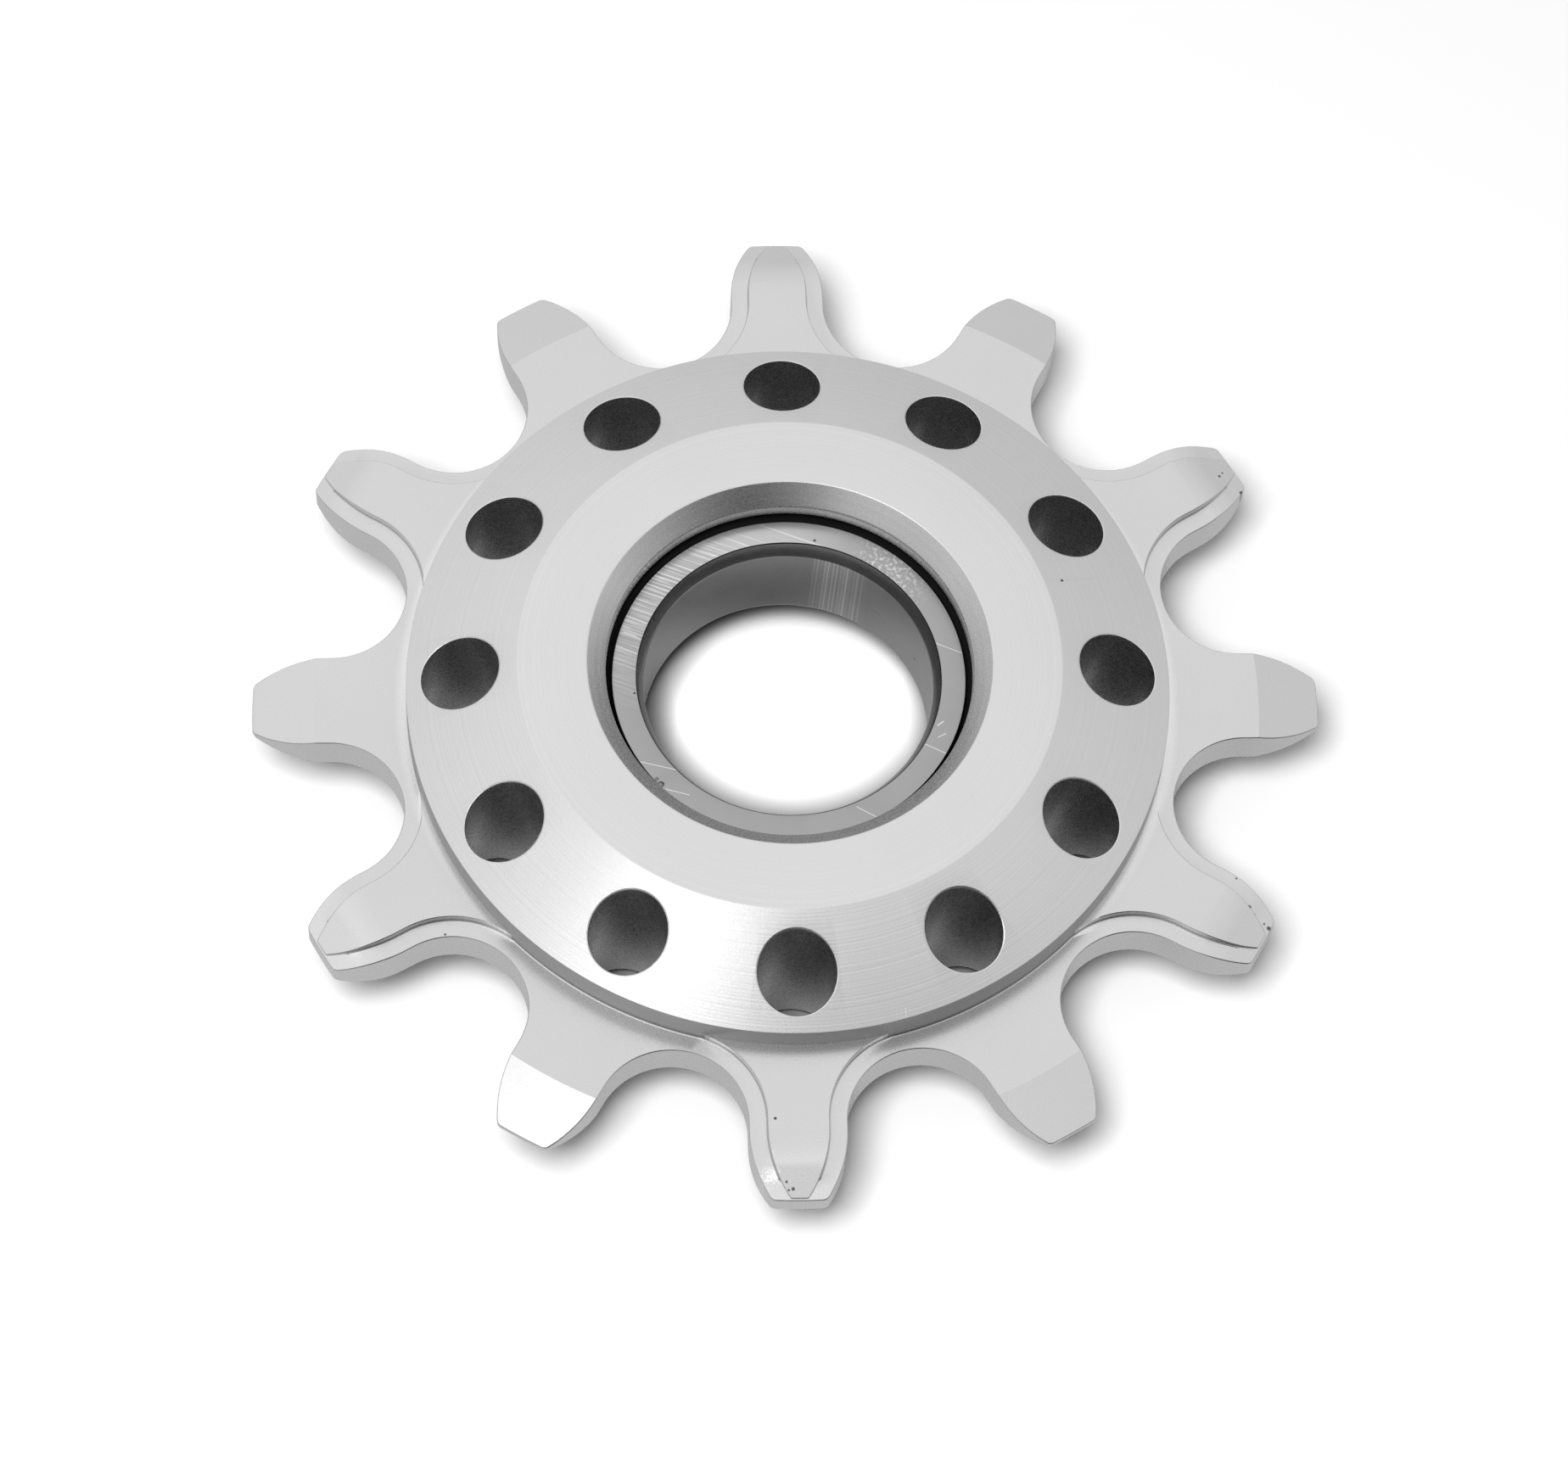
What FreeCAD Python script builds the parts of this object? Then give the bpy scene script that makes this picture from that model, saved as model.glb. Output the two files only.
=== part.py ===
# Chain guide pulley: a toothed idler wheel, turned and milled from aluminium bar, that
# carries a bicycle chain on a sealed ball bearing. Narrow teeth enter the chain's inner
# links and wide teeth enter its outer links, turn and turn about.
# Millimetres. +Z is the axle's line. The origin is the centre of the hub's back face, and
# a narrow tooth points along +X.
import FreeCAD, Part
import math
import os

# Chain
CHAIN_PITCH = 12.7
ROLLER_DIAMETER = 7.7
ROLLER_ROOM = 0.02

# Teeth
TOOTH_COUNT = 12
TIP_RADIUS = 27.8
TIP_HALF_WIDTH = 1.38
TIP_CORNER_ROUND = 0.2
FLANK_STRAIGHT = 0.5
NARROW_THICKNESS = 2.25
NARROW_TIP_THICKNESS = 0.3
NARROW_BEVEL_LENGTH = 3.2
WIDE_THICKNESS = 3.2
WIDE_TIP_THICKNESS = 1.75
WIDE_BEVEL_LENGTH = 2.4
LAND_INSET = 0.92
LAND_TIP_HALF_WIDTH = 0.45
LEDGE_TIP_THICKNESS = 1.15
LEDGE_BEVEL_LENGTH = 1.9

# Hub
HUB_RECESS = 2.0
HUB_FACE_RADIUS = 14.0
CONE_DROP = 2.52
FLANGE_RADIUS = 19.75
FLANGE_FILLET = 0.2
HOLE_DIAMETER = 4.0
HOLE_CIRCLE_RADIUS = 16.95

# Lip that holds the bearing from the front, and the pocket that it enters from the back
LIP_GAP = 0.32
LIP_ROUND = 0.25
LIP_CHAMFER = 0.97
LIP_RELIEF = 0.3
SHOULDER_SETBACK = 0.45
POCKET_CHAMFER = 0.25

# Bearing rings
BEARING_BORE = 15.0
BEARING_OUTSIDE = 24.0
BEARING_WIDTH = 7.0
RING_WALL = 1.65
OUTER_RING_CHAMFER = 0.3
BORE_CHAMFER_DEPTH = 0.8
BORE_CHAMFER_WIDTH = 0.38
INNER_RING_EDGE = 0.06

# Balls, cage and seals
BALL_COUNT = 15
BALL_DIAMETER = 2.381
BALL_PLAY = 0.02
RACEWAY_CONFORMITY = 1.04
CAGE_GAP = 0.15
CAGE_BASE = 0.9
CAGE_CLAW_RISE = 0.6
CAGE_POCKET_ROOM = 0.06
CAGE_SLOT_WIDTH = 0.8
CAGE_SLOT_DEPTH = 1.2
SEAL_SETBACK = 0.25
SEAL_THICKNESS = 0.7
SEAL_WEB = 0.4
SEAL_RIM_WIDTH = 0.45
SEAL_GROOVE_DEPTH = 0.3
SEAL_SEAT_ROOM = 0.03
SEAL_LIP_ROOM = 0.05
SEAL_LIP_LENGTH = 0.25

# Retaining ring behind the bearing
CLIP_THICKNESS = 1.2
CLIP_GROOVE_DEPTH = 0.6
CLIP_GROOVE_ROOM = 0.05
CLIP_WIDTH = 1.9
CLIP_GAP_DEGREES = 24.0
CLIP_LUG_DEGREES = 18.0
CLIP_LUG_GAP = 0.4
CLIP_LUG_ROUND = 0.5
CLIP_HOLE_DIAMETER = 1.5

# Worked out from the sizes above
HALF_STEP = math.pi / TOOTH_COUNT
STEP_DEGREES = 360.0 / TOOTH_COUNT
PITCH_RADIUS = CHAIN_PITCH / 2 / math.sin(HALF_STEP)
SEAT_RADIUS = ROLLER_DIAMETER / 2 + ROLLER_ROOM
HUB_WIDTH = BEARING_WIDTH + 2 * HUB_RECESS
MID = HUB_WIDTH / 2
FILLET_FOOT_RADIUS = FLANGE_RADIUS + FLANGE_FILLET
CORE_RADIUS = FLANGE_RADIUS - 1.5

BEARING_BACK = MID - BEARING_WIDTH / 2
BEARING_FRONT = MID + BEARING_WIDTH / 2
POCKET_RADIUS = BEARING_OUTSIDE / 2
BORE_RADIUS = BEARING_BORE / 2
INNER_RING_RADIUS = BORE_RADIUS + RING_WALL
OUTER_RING_BORE = POCKET_RADIUS - RING_WALL
BALL_RADIUS = BALL_DIAMETER / 2
BALL_CIRCLE_RADIUS = (INNER_RING_RADIUS + OUTER_RING_BORE) / 2
BALL_STEP_DEGREES = 360.0 / BALL_COUNT
RACEWAY_RADIUS = BALL_RADIUS * RACEWAY_CONFORMITY
RACEWAY_SHIFT = RACEWAY_RADIUS - BALL_RADIUS - BALL_PLAY
SEAL_RADIUS = OUTER_RING_BORE + SEAL_GROOVE_DEPTH - SEAL_SEAT_ROOM
SEAL_FRONT = BEARING_FRONT - SEAL_SETBACK
SEAL_BACK = SEAL_FRONT - SEAL_THICKNESS
GROOVE_RADIUS = POCKET_RADIUS + CLIP_GROOVE_DEPTH

CENTRE = FreeCAD.Vector(0, 0, 0)
AXIS = FreeCAD.Vector(0, 0, 1)
OVERRUN = 1.0
TOUCH = 1e-6


# Points, paths and turned solids

def at(radius, height):
    """A point of a turned section: distance from the axis, and height along it."""
    return FreeCAD.Vector(radius, 0, height)


def plan(x, y):
    """A point of a flat outline seen along the axis."""
    return FreeCAD.Vector(x, y, 0)


def polar(radius, angle):
    return plan(radius * math.cos(angle), radius * math.sin(angle))


def arc(start, middle, end):
    return Part.Arc(start, middle, end).toShape()


def lines(*points):
    return [Part.makeLine(a, b) for a, b in zip(points, points[1:])]


def to(radius, height):
    """A step of a section path: a straight line to a point."""
    return at(radius, height), None


def bend(radius, height, centre_radius, centre_height):
    """A step of a section path: the short arc to a point, about a centre."""
    return at(radius, height), at(centre_radius, centre_height)


def other_side(point):
    """The same section point on the other side of the wheel's middle plane."""
    return at(point.x, HUB_WIDTH - point.z)


def both_sides(path):
    """A path, and then its way back along the other side of the middle plane."""
    back = []
    centre = None
    for point, own_centre in reversed(path):
        back.append((other_side(point), None if centre is None else other_side(centre)))
        centre = own_centre
    return path + back


def path_edges(path):
    """The closed run of edges through a path; a step to the same point adds none."""
    edges = []
    for (start, _), (end, centre) in zip(path, path[1:] + path[:1]):
        if start.isEqual(end, TOUCH):
            continue
        if centre is None:
            edges.append(Part.makeLine(start, end))
            continue
        middle = (start + end) * 0.5 - centre
        middle.normalize()
        edges.append(arc(start, centre + middle * (start - centre).Length, end))
    return edges


def turned(path):
    """Solid of revolution from a closed section path beside the axis."""
    return Part.Face(Part.Wire(path_edges(path))).revolve(CENTRE, AXIS, 360)


def around(shape, degrees):
    copy = shape.copy()
    copy.rotate(CENTRE, AXIS, degrees)
    return copy


def other_face(shape):
    """The same solid on the other side of the wheel's middle plane."""
    return shape.mirror(at(0, MID), AXIS)


# Teeth

def tooth_face(inset, tip_half_width):
    """One tooth and half of the gap at each side, with its tip on +X.

    A roller seat runs tangent into a short straight flank, and that into a convex one.
    An inset moves the seat and flank into the metal, for the raised land.
    """
    seat_radius = SEAT_RADIUS + inset
    seat = polar(PITCH_RADIUS, HALF_STEP)
    root = polar(PITCH_RADIUS - seat_radius, HALF_STEP)
    seat_middle = seat - polar(seat_radius, (HALF_STEP + math.pi / 2) / 2)
    foot = plan(seat.x, seat.y - seat_radius)
    knee = plan(foot.x + FLANK_STRAIGHT, foot.y)
    tip = plan(math.sqrt(TIP_RADIUS ** 2 - tip_half_width ** 2), tip_half_width)
    rise = tip.x - knee.x
    drop = knee.y - tip.y
    flank_radius = (rise ** 2 + drop ** 2) / (2 * drop)
    half_turn = math.asin(rise / flank_radius) / 2
    flank_centre = plan(knee.x, knee.y - flank_radius)
    flank_middle = flank_centre + polar(flank_radius, math.pi / 2 - half_turn)
    core = polar(CORE_RADIUS, HALF_STEP)
    side = lines(core, root) + [arc(root, seat_middle, foot)]
    side += lines(foot, knee) + [arc(knee, flank_middle, tip)]
    mirrored_side = [edge.mirror(CENTRE, FreeCAD.Vector(0, 1, 0)) for edge in side]
    ends = [arc(tip, plan(TIP_RADIUS, 0), plan(tip.x, -tip.y))]
    ends += lines(plan(core.x, -core.y), core)
    return Part.Face(Part.Wire(Part.__sortEdges__(side + mirrored_side + ends)))


def tooth_prism(inset, tip_half_width, thickness):
    face = tooth_face(inset, tip_half_width)
    face.translate(AXIS * (MID - thickness / 2))
    return face.extrude(AXIS * thickness)


def is_tip_corner(edge):
    """True of the two upright edges where the flanks meet the tip."""
    middle = edge.CenterOfMass
    upright = abs(edge.tangentAt(edge.FirstParameter).z) > 0.99
    return upright and math.hypot(middle.x, middle.y) > TIP_RADIUS - 0.01


def bevelled_disc(thickness, tip_thickness, bevel_length):
    """A disc that thins towards the tooth tips, as two cones leave it."""
    return turned(both_sides([
        to(0, MID + thickness / 2),
        to(TIP_RADIUS - bevel_length, MID + thickness / 2),
        to(TIP_RADIUS, MID + tip_thickness / 2),
        to(TIP_RADIUS + OVERRUN, MID + tip_thickness / 2),
    ]))


def tooth_blank(tip_thickness, bevel_length):
    """The full outline at the narrow thickness, bevelled towards its tip."""
    prism = tooth_prism(0, TIP_HALF_WIDTH, NARROW_THICKNESS)
    corners = [edge for edge in prism.Edges if is_tip_corner(edge)]
    prism = prism.makeFillet(TIP_CORNER_ROUND, corners)
    return prism.common(bevelled_disc(NARROW_THICKNESS, tip_thickness, bevel_length))


def land_fillet():
    """The fillet between the flange wall and a wide tooth's raised land."""
    level = MID + WIDE_THICKNESS / 2
    ring = turned([
        to(CORE_RADIUS, MID),
        to(FILLET_FOOT_RADIUS, MID),
        to(FILLET_FOOT_RADIUS, level),
        bend(FLANGE_RADIUS, level + FLANGE_FILLET, FILLET_FOOT_RADIUS, level + FLANGE_FILLET),
        to(CORE_RADIUS, level + FLANGE_FILLET),
    ])
    column = tooth_face(LAND_INSET, LAND_TIP_HALF_WIDTH).extrude(AXIS * HUB_WIDTH)
    return ring.common(column)


def wide_tooth():
    """A tooth with a raised land on both faces, set in from its outline by a ledge."""
    blank = tooth_blank(LEDGE_TIP_THICKNESS, LEDGE_BEVEL_LENGTH)
    land = tooth_prism(LAND_INSET, LAND_TIP_HALF_WIDTH, WIDE_THICKNESS)
    land = land.common(bevelled_disc(WIDE_THICKNESS, WIDE_TIP_THICKNESS, WIDE_BEVEL_LENGTH))
    fillet = land_fillet()
    return blank.fuse([land, fillet, other_face(fillet)])


# Pulley body

def hub_outside():
    """The front face, the cone, and the flange down to its fillet on the ledge."""
    ledge = MID + NARROW_THICKNESS / 2
    fillet_top = ledge + FLANGE_FILLET
    return [
        to(HUB_FACE_RADIUS, HUB_WIDTH),
        to(FLANGE_RADIUS, HUB_WIDTH - CONE_DROP),
        to(FLANGE_RADIUS, fillet_top),
        bend(FILLET_FOOT_RADIUS, ledge, FILLET_FOOT_RADIUS, fillet_top),
    ]


def hub_inside():
    """From the back face: pocket, ring groove, bearing shoulder, and the front lip."""
    groove_back = BEARING_BACK - CLIP_THICKNESS - CLIP_GROOVE_ROOM
    groove_front = BEARING_BACK + CLIP_GROOVE_ROOM
    shoulder_radius = OUTER_RING_BORE + SHOULDER_SETBACK
    lip_radius = INNER_RING_RADIUS + LIP_GAP
    lip_back = BEARING_FRONT + LIP_RELIEF
    lip_edge = HUB_WIDTH - LIP_CHAMFER
    tangent = LIP_ROUND * math.tan(math.pi / 8)
    round_start = lip_edge - tangent
    step = tangent * math.sqrt(0.5)
    return [
        to(POCKET_RADIUS + POCKET_CHAMFER, 0),
        to(POCKET_RADIUS, POCKET_CHAMFER),
        to(POCKET_RADIUS, groove_back),
        to(GROOVE_RADIUS, groove_back),
        to(GROOVE_RADIUS, groove_front),
        to(POCKET_RADIUS, groove_front),
        to(POCKET_RADIUS, BEARING_FRONT),
        to(shoulder_radius, BEARING_FRONT),
        to(shoulder_radius, lip_back),
        to(lip_radius, lip_back),
        to(lip_radius, round_start),
        bend(lip_radius + step, lip_edge + step, lip_radius + LIP_ROUND, round_start),
        to(lip_radius + LIP_CHAMFER, HUB_WIDTH),
    ]


def pulley_body():
    """Hub, flange and teeth in one piece, with a ring of holes that lightens it."""
    hub = turned(both_sides(hub_outside()) + hub_inside())
    kinds = tooth_blank(NARROW_TIP_THICKNESS, NARROW_BEVEL_LENGTH), wide_tooth()
    teeth = [around(kinds[k % 2], k * STEP_DEGREES) for k in range(TOOTH_COUNT)]
    body = hub.fuse(teeth).removeSplitter()
    hole = Part.makeCylinder(HOLE_DIAMETER / 2, HUB_WIDTH, plan(HOLE_CIRCLE_RADIUS, 0), AXIS)
    return body.cut([around(hole, k * STEP_DEGREES) for k in range(TOOTH_COUNT)])


# Bearing

def ring_with_raceway(wall_radius, inward, rest):
    """A ring turned from the middle of its raceway out to the end of the path given.

    inward is 1 where the groove's centre lies nearer the axis than the wall, else -1.
    """
    centre = BALL_CIRCLE_RADIUS - inward * RACEWAY_SHIFT
    deepest = centre + inward * RACEWAY_RADIUS
    half_width = math.sqrt(RACEWAY_RADIUS ** 2 - (wall_radius - centre) ** 2)
    return turned(both_sides([
        to(deepest, MID),
        bend(wall_radius, MID + half_width, centre, MID),
    ] + rest))


def bearing_outer_ring():
    """Holds the seals in a groove at each end of its bore."""
    seal_groove = OUTER_RING_BORE + SEAL_GROOVE_DEPTH
    return ring_with_raceway(OUTER_RING_BORE, 1, [
        to(OUTER_RING_BORE, SEAL_BACK - SEAL_SEAT_ROOM),
        to(seal_groove, SEAL_BACK - SEAL_SEAT_ROOM),
        to(seal_groove, SEAL_FRONT + SEAL_SEAT_ROOM),
        to(OUTER_RING_BORE, SEAL_FRONT + SEAL_SEAT_ROOM),
        to(OUTER_RING_BORE, BEARING_FRONT),
        to(POCKET_RADIUS - OUTER_RING_CHAMFER, BEARING_FRONT),
        to(POCKET_RADIUS, BEARING_FRONT - OUTER_RING_CHAMFER),
    ])


def bearing_inner_ring():
    """Sits on the axle; a long chamfer leads the axle into its bore."""
    return ring_with_raceway(INNER_RING_RADIUS, -1, [
        to(INNER_RING_RADIUS, BEARING_FRONT - INNER_RING_EDGE),
        to(INNER_RING_RADIUS - INNER_RING_EDGE, BEARING_FRONT),
        to(BORE_RADIUS + BORE_CHAMFER_WIDTH, BEARING_FRONT),
        to(BORE_RADIUS, BEARING_FRONT - BORE_CHAMFER_DEPTH),
    ])


def ball(index):
    centre = polar(BALL_CIRCLE_RADIUS, 0) + AXIS * MID
    return around(Part.makeSphere(BALL_RADIUS, centre), index * BALL_STEP_DEGREES)


def ball_cage():
    """A crown: a ring at the back, and claws that reach round each ball from it."""
    pocket_radius = BALL_RADIUS + CAGE_POCKET_ROOM
    back = MID - pocket_radius - CAGE_BASE
    front = MID + CAGE_CLAW_RISE
    inner = INNER_RING_RADIUS + CAGE_GAP
    outer = OUTER_RING_BORE - CAGE_GAP
    crown = turned([to(inner, back), to(outer, back), to(outer, front), to(inner, front)])
    pocket = Part.makeSphere(pocket_radius, polar(BALL_CIRCLE_RADIUS, 0) + AXIS * MID)
    slot = around(cage_slot(front), BALL_STEP_DEGREES / 2)
    cutters = [around(pocket, k * BALL_STEP_DEGREES) for k in range(BALL_COUNT)]
    cutters += [around(slot, k * BALL_STEP_DEGREES) for k in range(BALL_COUNT)]
    return crown.cut(cutters)


def cage_slot(front):
    """The round-bottomed slot between two balls that lets the claws spread."""
    radius = CAGE_SLOT_WIDTH / 2
    bottom = front - CAGE_SLOT_DEPTH + radius
    outward = FreeCAD.Vector(1, 0, 0)
    round_end = Part.makeCylinder(radius, POCKET_RADIUS, AXIS * bottom, outward)
    corner = FreeCAD.Vector(0, -radius, bottom)
    return round_end.fuse(Part.makeBox(POCKET_RADIUS, CAGE_SLOT_WIDTH, CAGE_SLOT_DEPTH, corner))


def front_seal():
    """A washer whose rim snaps into the outer ring and whose lip runs on the inner one."""
    rim = SEAL_RADIUS - SEAL_RIM_WIDTH
    lip = INNER_RING_RADIUS + SEAL_LIP_ROOM
    web_step = (SEAL_THICKNESS - SEAL_WEB) / 2
    web_front = SEAL_FRONT - web_step
    web_back = SEAL_BACK + web_step
    return turned([
        to(SEAL_RADIUS, SEAL_BACK),
        to(SEAL_RADIUS, SEAL_FRONT),
        to(rim, SEAL_FRONT),
        to(rim - web_step, web_front),
        to(lip + SEAL_LIP_LENGTH, web_front),
        to(lip, (web_front + web_back) / 2),
        to(lip, web_back),
        to(rim - web_step, web_back),
        to(rim, SEAL_BACK),
    ])


def rear_seal():
    return other_face(front_seal())


# Retaining ring

def ring_sector(inner, outer, first_degrees, last_degrees):
    """A flat piece of a ring, as thick as the retaining ring."""
    first = math.radians(first_degrees)
    last = math.radians(last_degrees)
    middle = (first + last) / 2
    edges = [arc(polar(outer, first), polar(outer, middle), polar(outer, last))]
    edges += lines(polar(outer, last), polar(inner, last))
    edges.append(arc(polar(inner, last), polar(inner, middle), polar(inner, first)))
    edges += lines(polar(inner, first), polar(outer, first))
    face = Part.Face(Part.Wire(edges))
    face.translate(AXIS * (BEARING_BACK - CLIP_THICKNESS))
    return face.extrude(AXIS * CLIP_THICKNESS)


def retaining_ring():
    """A spring ring in the pocket's groove, with an eye at each end for the pliers."""
    lug_inner = INNER_RING_RADIUS + CLIP_LUG_GAP
    gap_edge = CLIP_GAP_DEGREES / 2
    lug_edge = gap_edge + CLIP_LUG_DEGREES
    band = ring_sector(GROOVE_RADIUS - CLIP_WIDTH, GROOVE_RADIUS, gap_edge, 360 - gap_edge)
    lug = ring_sector(lug_inner, GROOVE_RADIUS, gap_edge, lug_edge)
    inner_edges = [e for e in lug.Edges if is_lug_corner(e, lug_inner)]
    lug = lug.makeFillet(CLIP_LUG_ROUND, inner_edges)
    eye_centre = polar((lug_inner + GROOVE_RADIUS) / 2, math.radians((gap_edge + lug_edge) / 2))
    eye = Part.makeCylinder(CLIP_HOLE_DIAMETER / 2, HUB_WIDTH, eye_centre, AXIS)
    across = FreeCAD.Vector(0, 1, 0)
    ring = band.fuse([lug, lug.mirror(CENTRE, across)]).removeSplitter()
    return ring.cut([eye, eye.mirror(CENTRE, across)])


def is_lug_corner(edge, lug_inner):
    middle = edge.CenterOfMass
    upright = abs(edge.tangentAt(edge.FirstParameter).z) > 0.99
    return upright and math.hypot(middle.x, middle.y) < lug_inner + TOUCH


def pieces():
    """Every piece of the pulley by name."""
    named = {
        "pulley_body": pulley_body(),
        "bearing_outer_ring": bearing_outer_ring(),
        "bearing_inner_ring": bearing_inner_ring(),
        "ball_cage": ball_cage(),
        "front_seal": front_seal(),
        "rear_seal": rear_seal(),
        "retaining_ring": retaining_ring(),
    }
    for index in range(BALL_COUNT):
        named[f"ball_{index + 1:02d}"] = ball(index)
    return named


def main():
    os.makedirs("parts", exist_ok=True)
    for name, shape in pieces().items():
        solid = shape.Solids[0] if len(shape.Solids) == 1 else shape
        solid.exportStep(f"parts/{name}.step")
        print(f"{name}: {len(shape.Solids)} solid, {shape.Volume:.2f} mm3, valid {shape.isValid()}")


main()
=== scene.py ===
# %% [markdown]
# # A chain guide pulley, dressed for the camera
# The CAD model already has every piece of this pulley at its true size. This notebook puts
# a finer skin over the pieces that the eye meets, gives each one the finish that its maker
# would have given it, and sets up the light and the camera of a plain product photograph.
# Lengths are written in millimetres, and Blender works in metres.

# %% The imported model
import bpy
import bmesh
import math
from mathutils import Matrix, Vector


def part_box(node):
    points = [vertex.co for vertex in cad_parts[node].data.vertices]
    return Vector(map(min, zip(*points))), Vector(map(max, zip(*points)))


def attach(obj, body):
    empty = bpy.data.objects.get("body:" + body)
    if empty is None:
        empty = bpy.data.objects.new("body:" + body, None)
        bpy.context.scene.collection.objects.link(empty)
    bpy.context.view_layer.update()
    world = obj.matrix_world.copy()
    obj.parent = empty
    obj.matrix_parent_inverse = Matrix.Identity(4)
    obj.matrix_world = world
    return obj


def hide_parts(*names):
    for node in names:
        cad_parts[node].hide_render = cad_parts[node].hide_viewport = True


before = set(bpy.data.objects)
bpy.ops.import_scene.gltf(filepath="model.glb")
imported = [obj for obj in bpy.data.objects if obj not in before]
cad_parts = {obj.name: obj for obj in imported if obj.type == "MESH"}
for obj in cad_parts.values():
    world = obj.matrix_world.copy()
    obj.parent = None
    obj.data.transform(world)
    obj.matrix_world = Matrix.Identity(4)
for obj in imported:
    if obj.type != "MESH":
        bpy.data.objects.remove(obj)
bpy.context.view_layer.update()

MM = 0.001
print("CAD nodes:", len(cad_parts))

# %% [markdown]
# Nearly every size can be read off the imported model, so that the skin fits it by itself.
# The pulley lies on its back with its axle upright, so heights are measured along Z, and
# the box of a round piece gives its radius.

# %% Sizes from the model
def size_of(node):
    """Radius, lowest and highest point of a round piece, in millimetres."""
    low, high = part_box(node)
    return high.x / MM, low.z / MM, high.z / MM


TIP_RADIUS, BACK_FACE, FRONT_FACE = size_of("pulley_body")
POCKET_RADIUS, BEARING_BACK, BEARING_FRONT = size_of("bearing_outer_ring")
RING_RADIUS = size_of("bearing_inner_ring")[0]
MID = (BACK_FACE + FRONT_FACE) / 2
print(f"tips {TIP_RADIUS:.2f}, pocket {POCKET_RADIUS:.2f}, ring {RING_RADIUS:.2f} mm")

# %% [markdown]
# ## Tools of the trade
# Three habits keep modelling by operators safe. Everything is deselected before a new
# shape is begun, because an operator acts on all that is selected. A line is drawn by
# extruding one point from place to place, as one does by hand with the E key. And points,
# edges and faces are picked by where they are, not by their numbers, which change.

# %% Starting, picking and leaving
def point(x, y, z):
    return Vector((x, y, z)) * MM


def nothing_selected():
    if bpy.context.mode != "OBJECT":
        leave_edit()
    bpy.ops.object.select_all(action="DESELECT")


def choose(piece):
    """Selects one object alone and makes it the active one."""
    nothing_selected()
    piece.select_set(True)
    bpy.context.view_layer.objects.active = piece


def edit(piece):
    choose(piece)
    bpy.ops.object.mode_set(mode="EDIT")


def leave_edit():
    bpy.ops.object.mode_set(mode="OBJECT")
    return bpy.context.object


def pick(kind, wanted):
    """In edit mode, selects the VERT, EDGE or FACE parts for which wanted is true."""
    bpy.ops.mesh.select_mode(type=kind)
    bpy.ops.mesh.select_all(action="DESELECT")
    mesh = bmesh.from_edit_mesh(bpy.context.object.data)
    parts = {"VERT": mesh.verts, "EDGE": mesh.edges, "FACE": mesh.faces}[kind]
    found = [part for part in parts if wanted(part)]
    for part in found:
        part.select_set(True)
    mesh.select_flush_mode()
    bmesh.update_edit_mesh(bpy.context.object.data)
    return len(found)


def pick_point(place):
    return pick("VERT", lambda v: (v.co - place).length < 0.001 * MM)


def bevel(affect, width, segments=1):
    """Bevels what is picked, EDGES or VERTICES; the width is in millimetres."""
    bpy.ops.mesh.bevel(offset=width * MM, segments=segments, affect=affect)


def begin_line(name, start):
    """A mesh of one selected point, from a plane whose corners are merged."""
    nothing_selected()
    bpy.ops.mesh.primitive_plane_add(size=MM)
    piece = bpy.context.object
    piece.name = name
    bpy.ops.object.mode_set(mode="EDIT")
    bpy.ops.mesh.select_mode(type="VERT")
    bpy.ops.mesh.select_all(action="SELECT")
    bpy.ops.mesh.merge(type="CENTER")
    bpy.ops.transform.translate(value=start)
    return piece


def line_to(end):
    mesh = bmesh.from_edit_mesh(bpy.context.object.data)
    start = next(v.co.copy() for v in mesh.verts if v.select)
    bpy.ops.mesh.extrude_region_move(TRANSFORM_OT_translate={"value": end - start})


def arc(centre, degrees, steps, axis=(0, 0, 1)):
    """Sweeps the line's end about a centre; degrees are counter-clockwise about the axis."""
    bpy.ops.mesh.spin(steps=steps, angle=-math.radians(degrees), center=centre, axis=axis)


def tidy_mesh(gap=0.0005):
    """Closes seams up to a gap in millimetres, and turns every face outwards."""
    bpy.ops.mesh.select_all(action="SELECT")
    bpy.ops.mesh.remove_doubles(threshold=gap * MM)
    bpy.ops.mesh.normals_make_consistent(inside=False)


# %% [markdown]
# ## Turned pieces
# Hub, rings and seals come off a lathe, where a tool follows half of the outline while the
# bar spins. Blender's Spin operator does the same. The outline is drawn beside the axis,
# its corners are broken with a vertex bevel, and one full turn makes the solid. A long
# path of screwed or stacked cylinders would work too, but its corners would never meet.

# %% Turning
TURN_STEPS = 240


def outline(name, corners):
    """A closed outline through (radius, height) corners, in the plane of the axis."""
    piece = begin_line(name, point(corners[0][0], 0, corners[0][1]))
    for radius, height in corners[1:] + corners[:1]:
        line_to(point(radius, 0, height))
    tidy_mesh()
    return piece


def break_corner(radius, height, width, segments=1):
    """Rounds or chamfers one corner of an outline before it is turned."""
    pick_point(point(radius, 0, height))
    bevel("VERTICES", width, segments)


def turn(steps=TURN_STEPS):
    bpy.ops.mesh.select_all(action="SELECT")
    bpy.ops.mesh.spin(steps=steps, angle=2 * math.pi, center=(0, 0, 0), axis=(0, 0, 1))
    tidy_mesh()
    return leave_edit()


def other_side(height):
    return FRONT_FACE + BACK_FACE - height


def finish_surface(piece, degrees=13):
    """Smooth shading across shallow angles, so that only real edges stay sharp."""
    choose(piece)
    bpy.ops.object.shade_smooth_by_angle(angle=math.radians(degrees))


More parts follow.
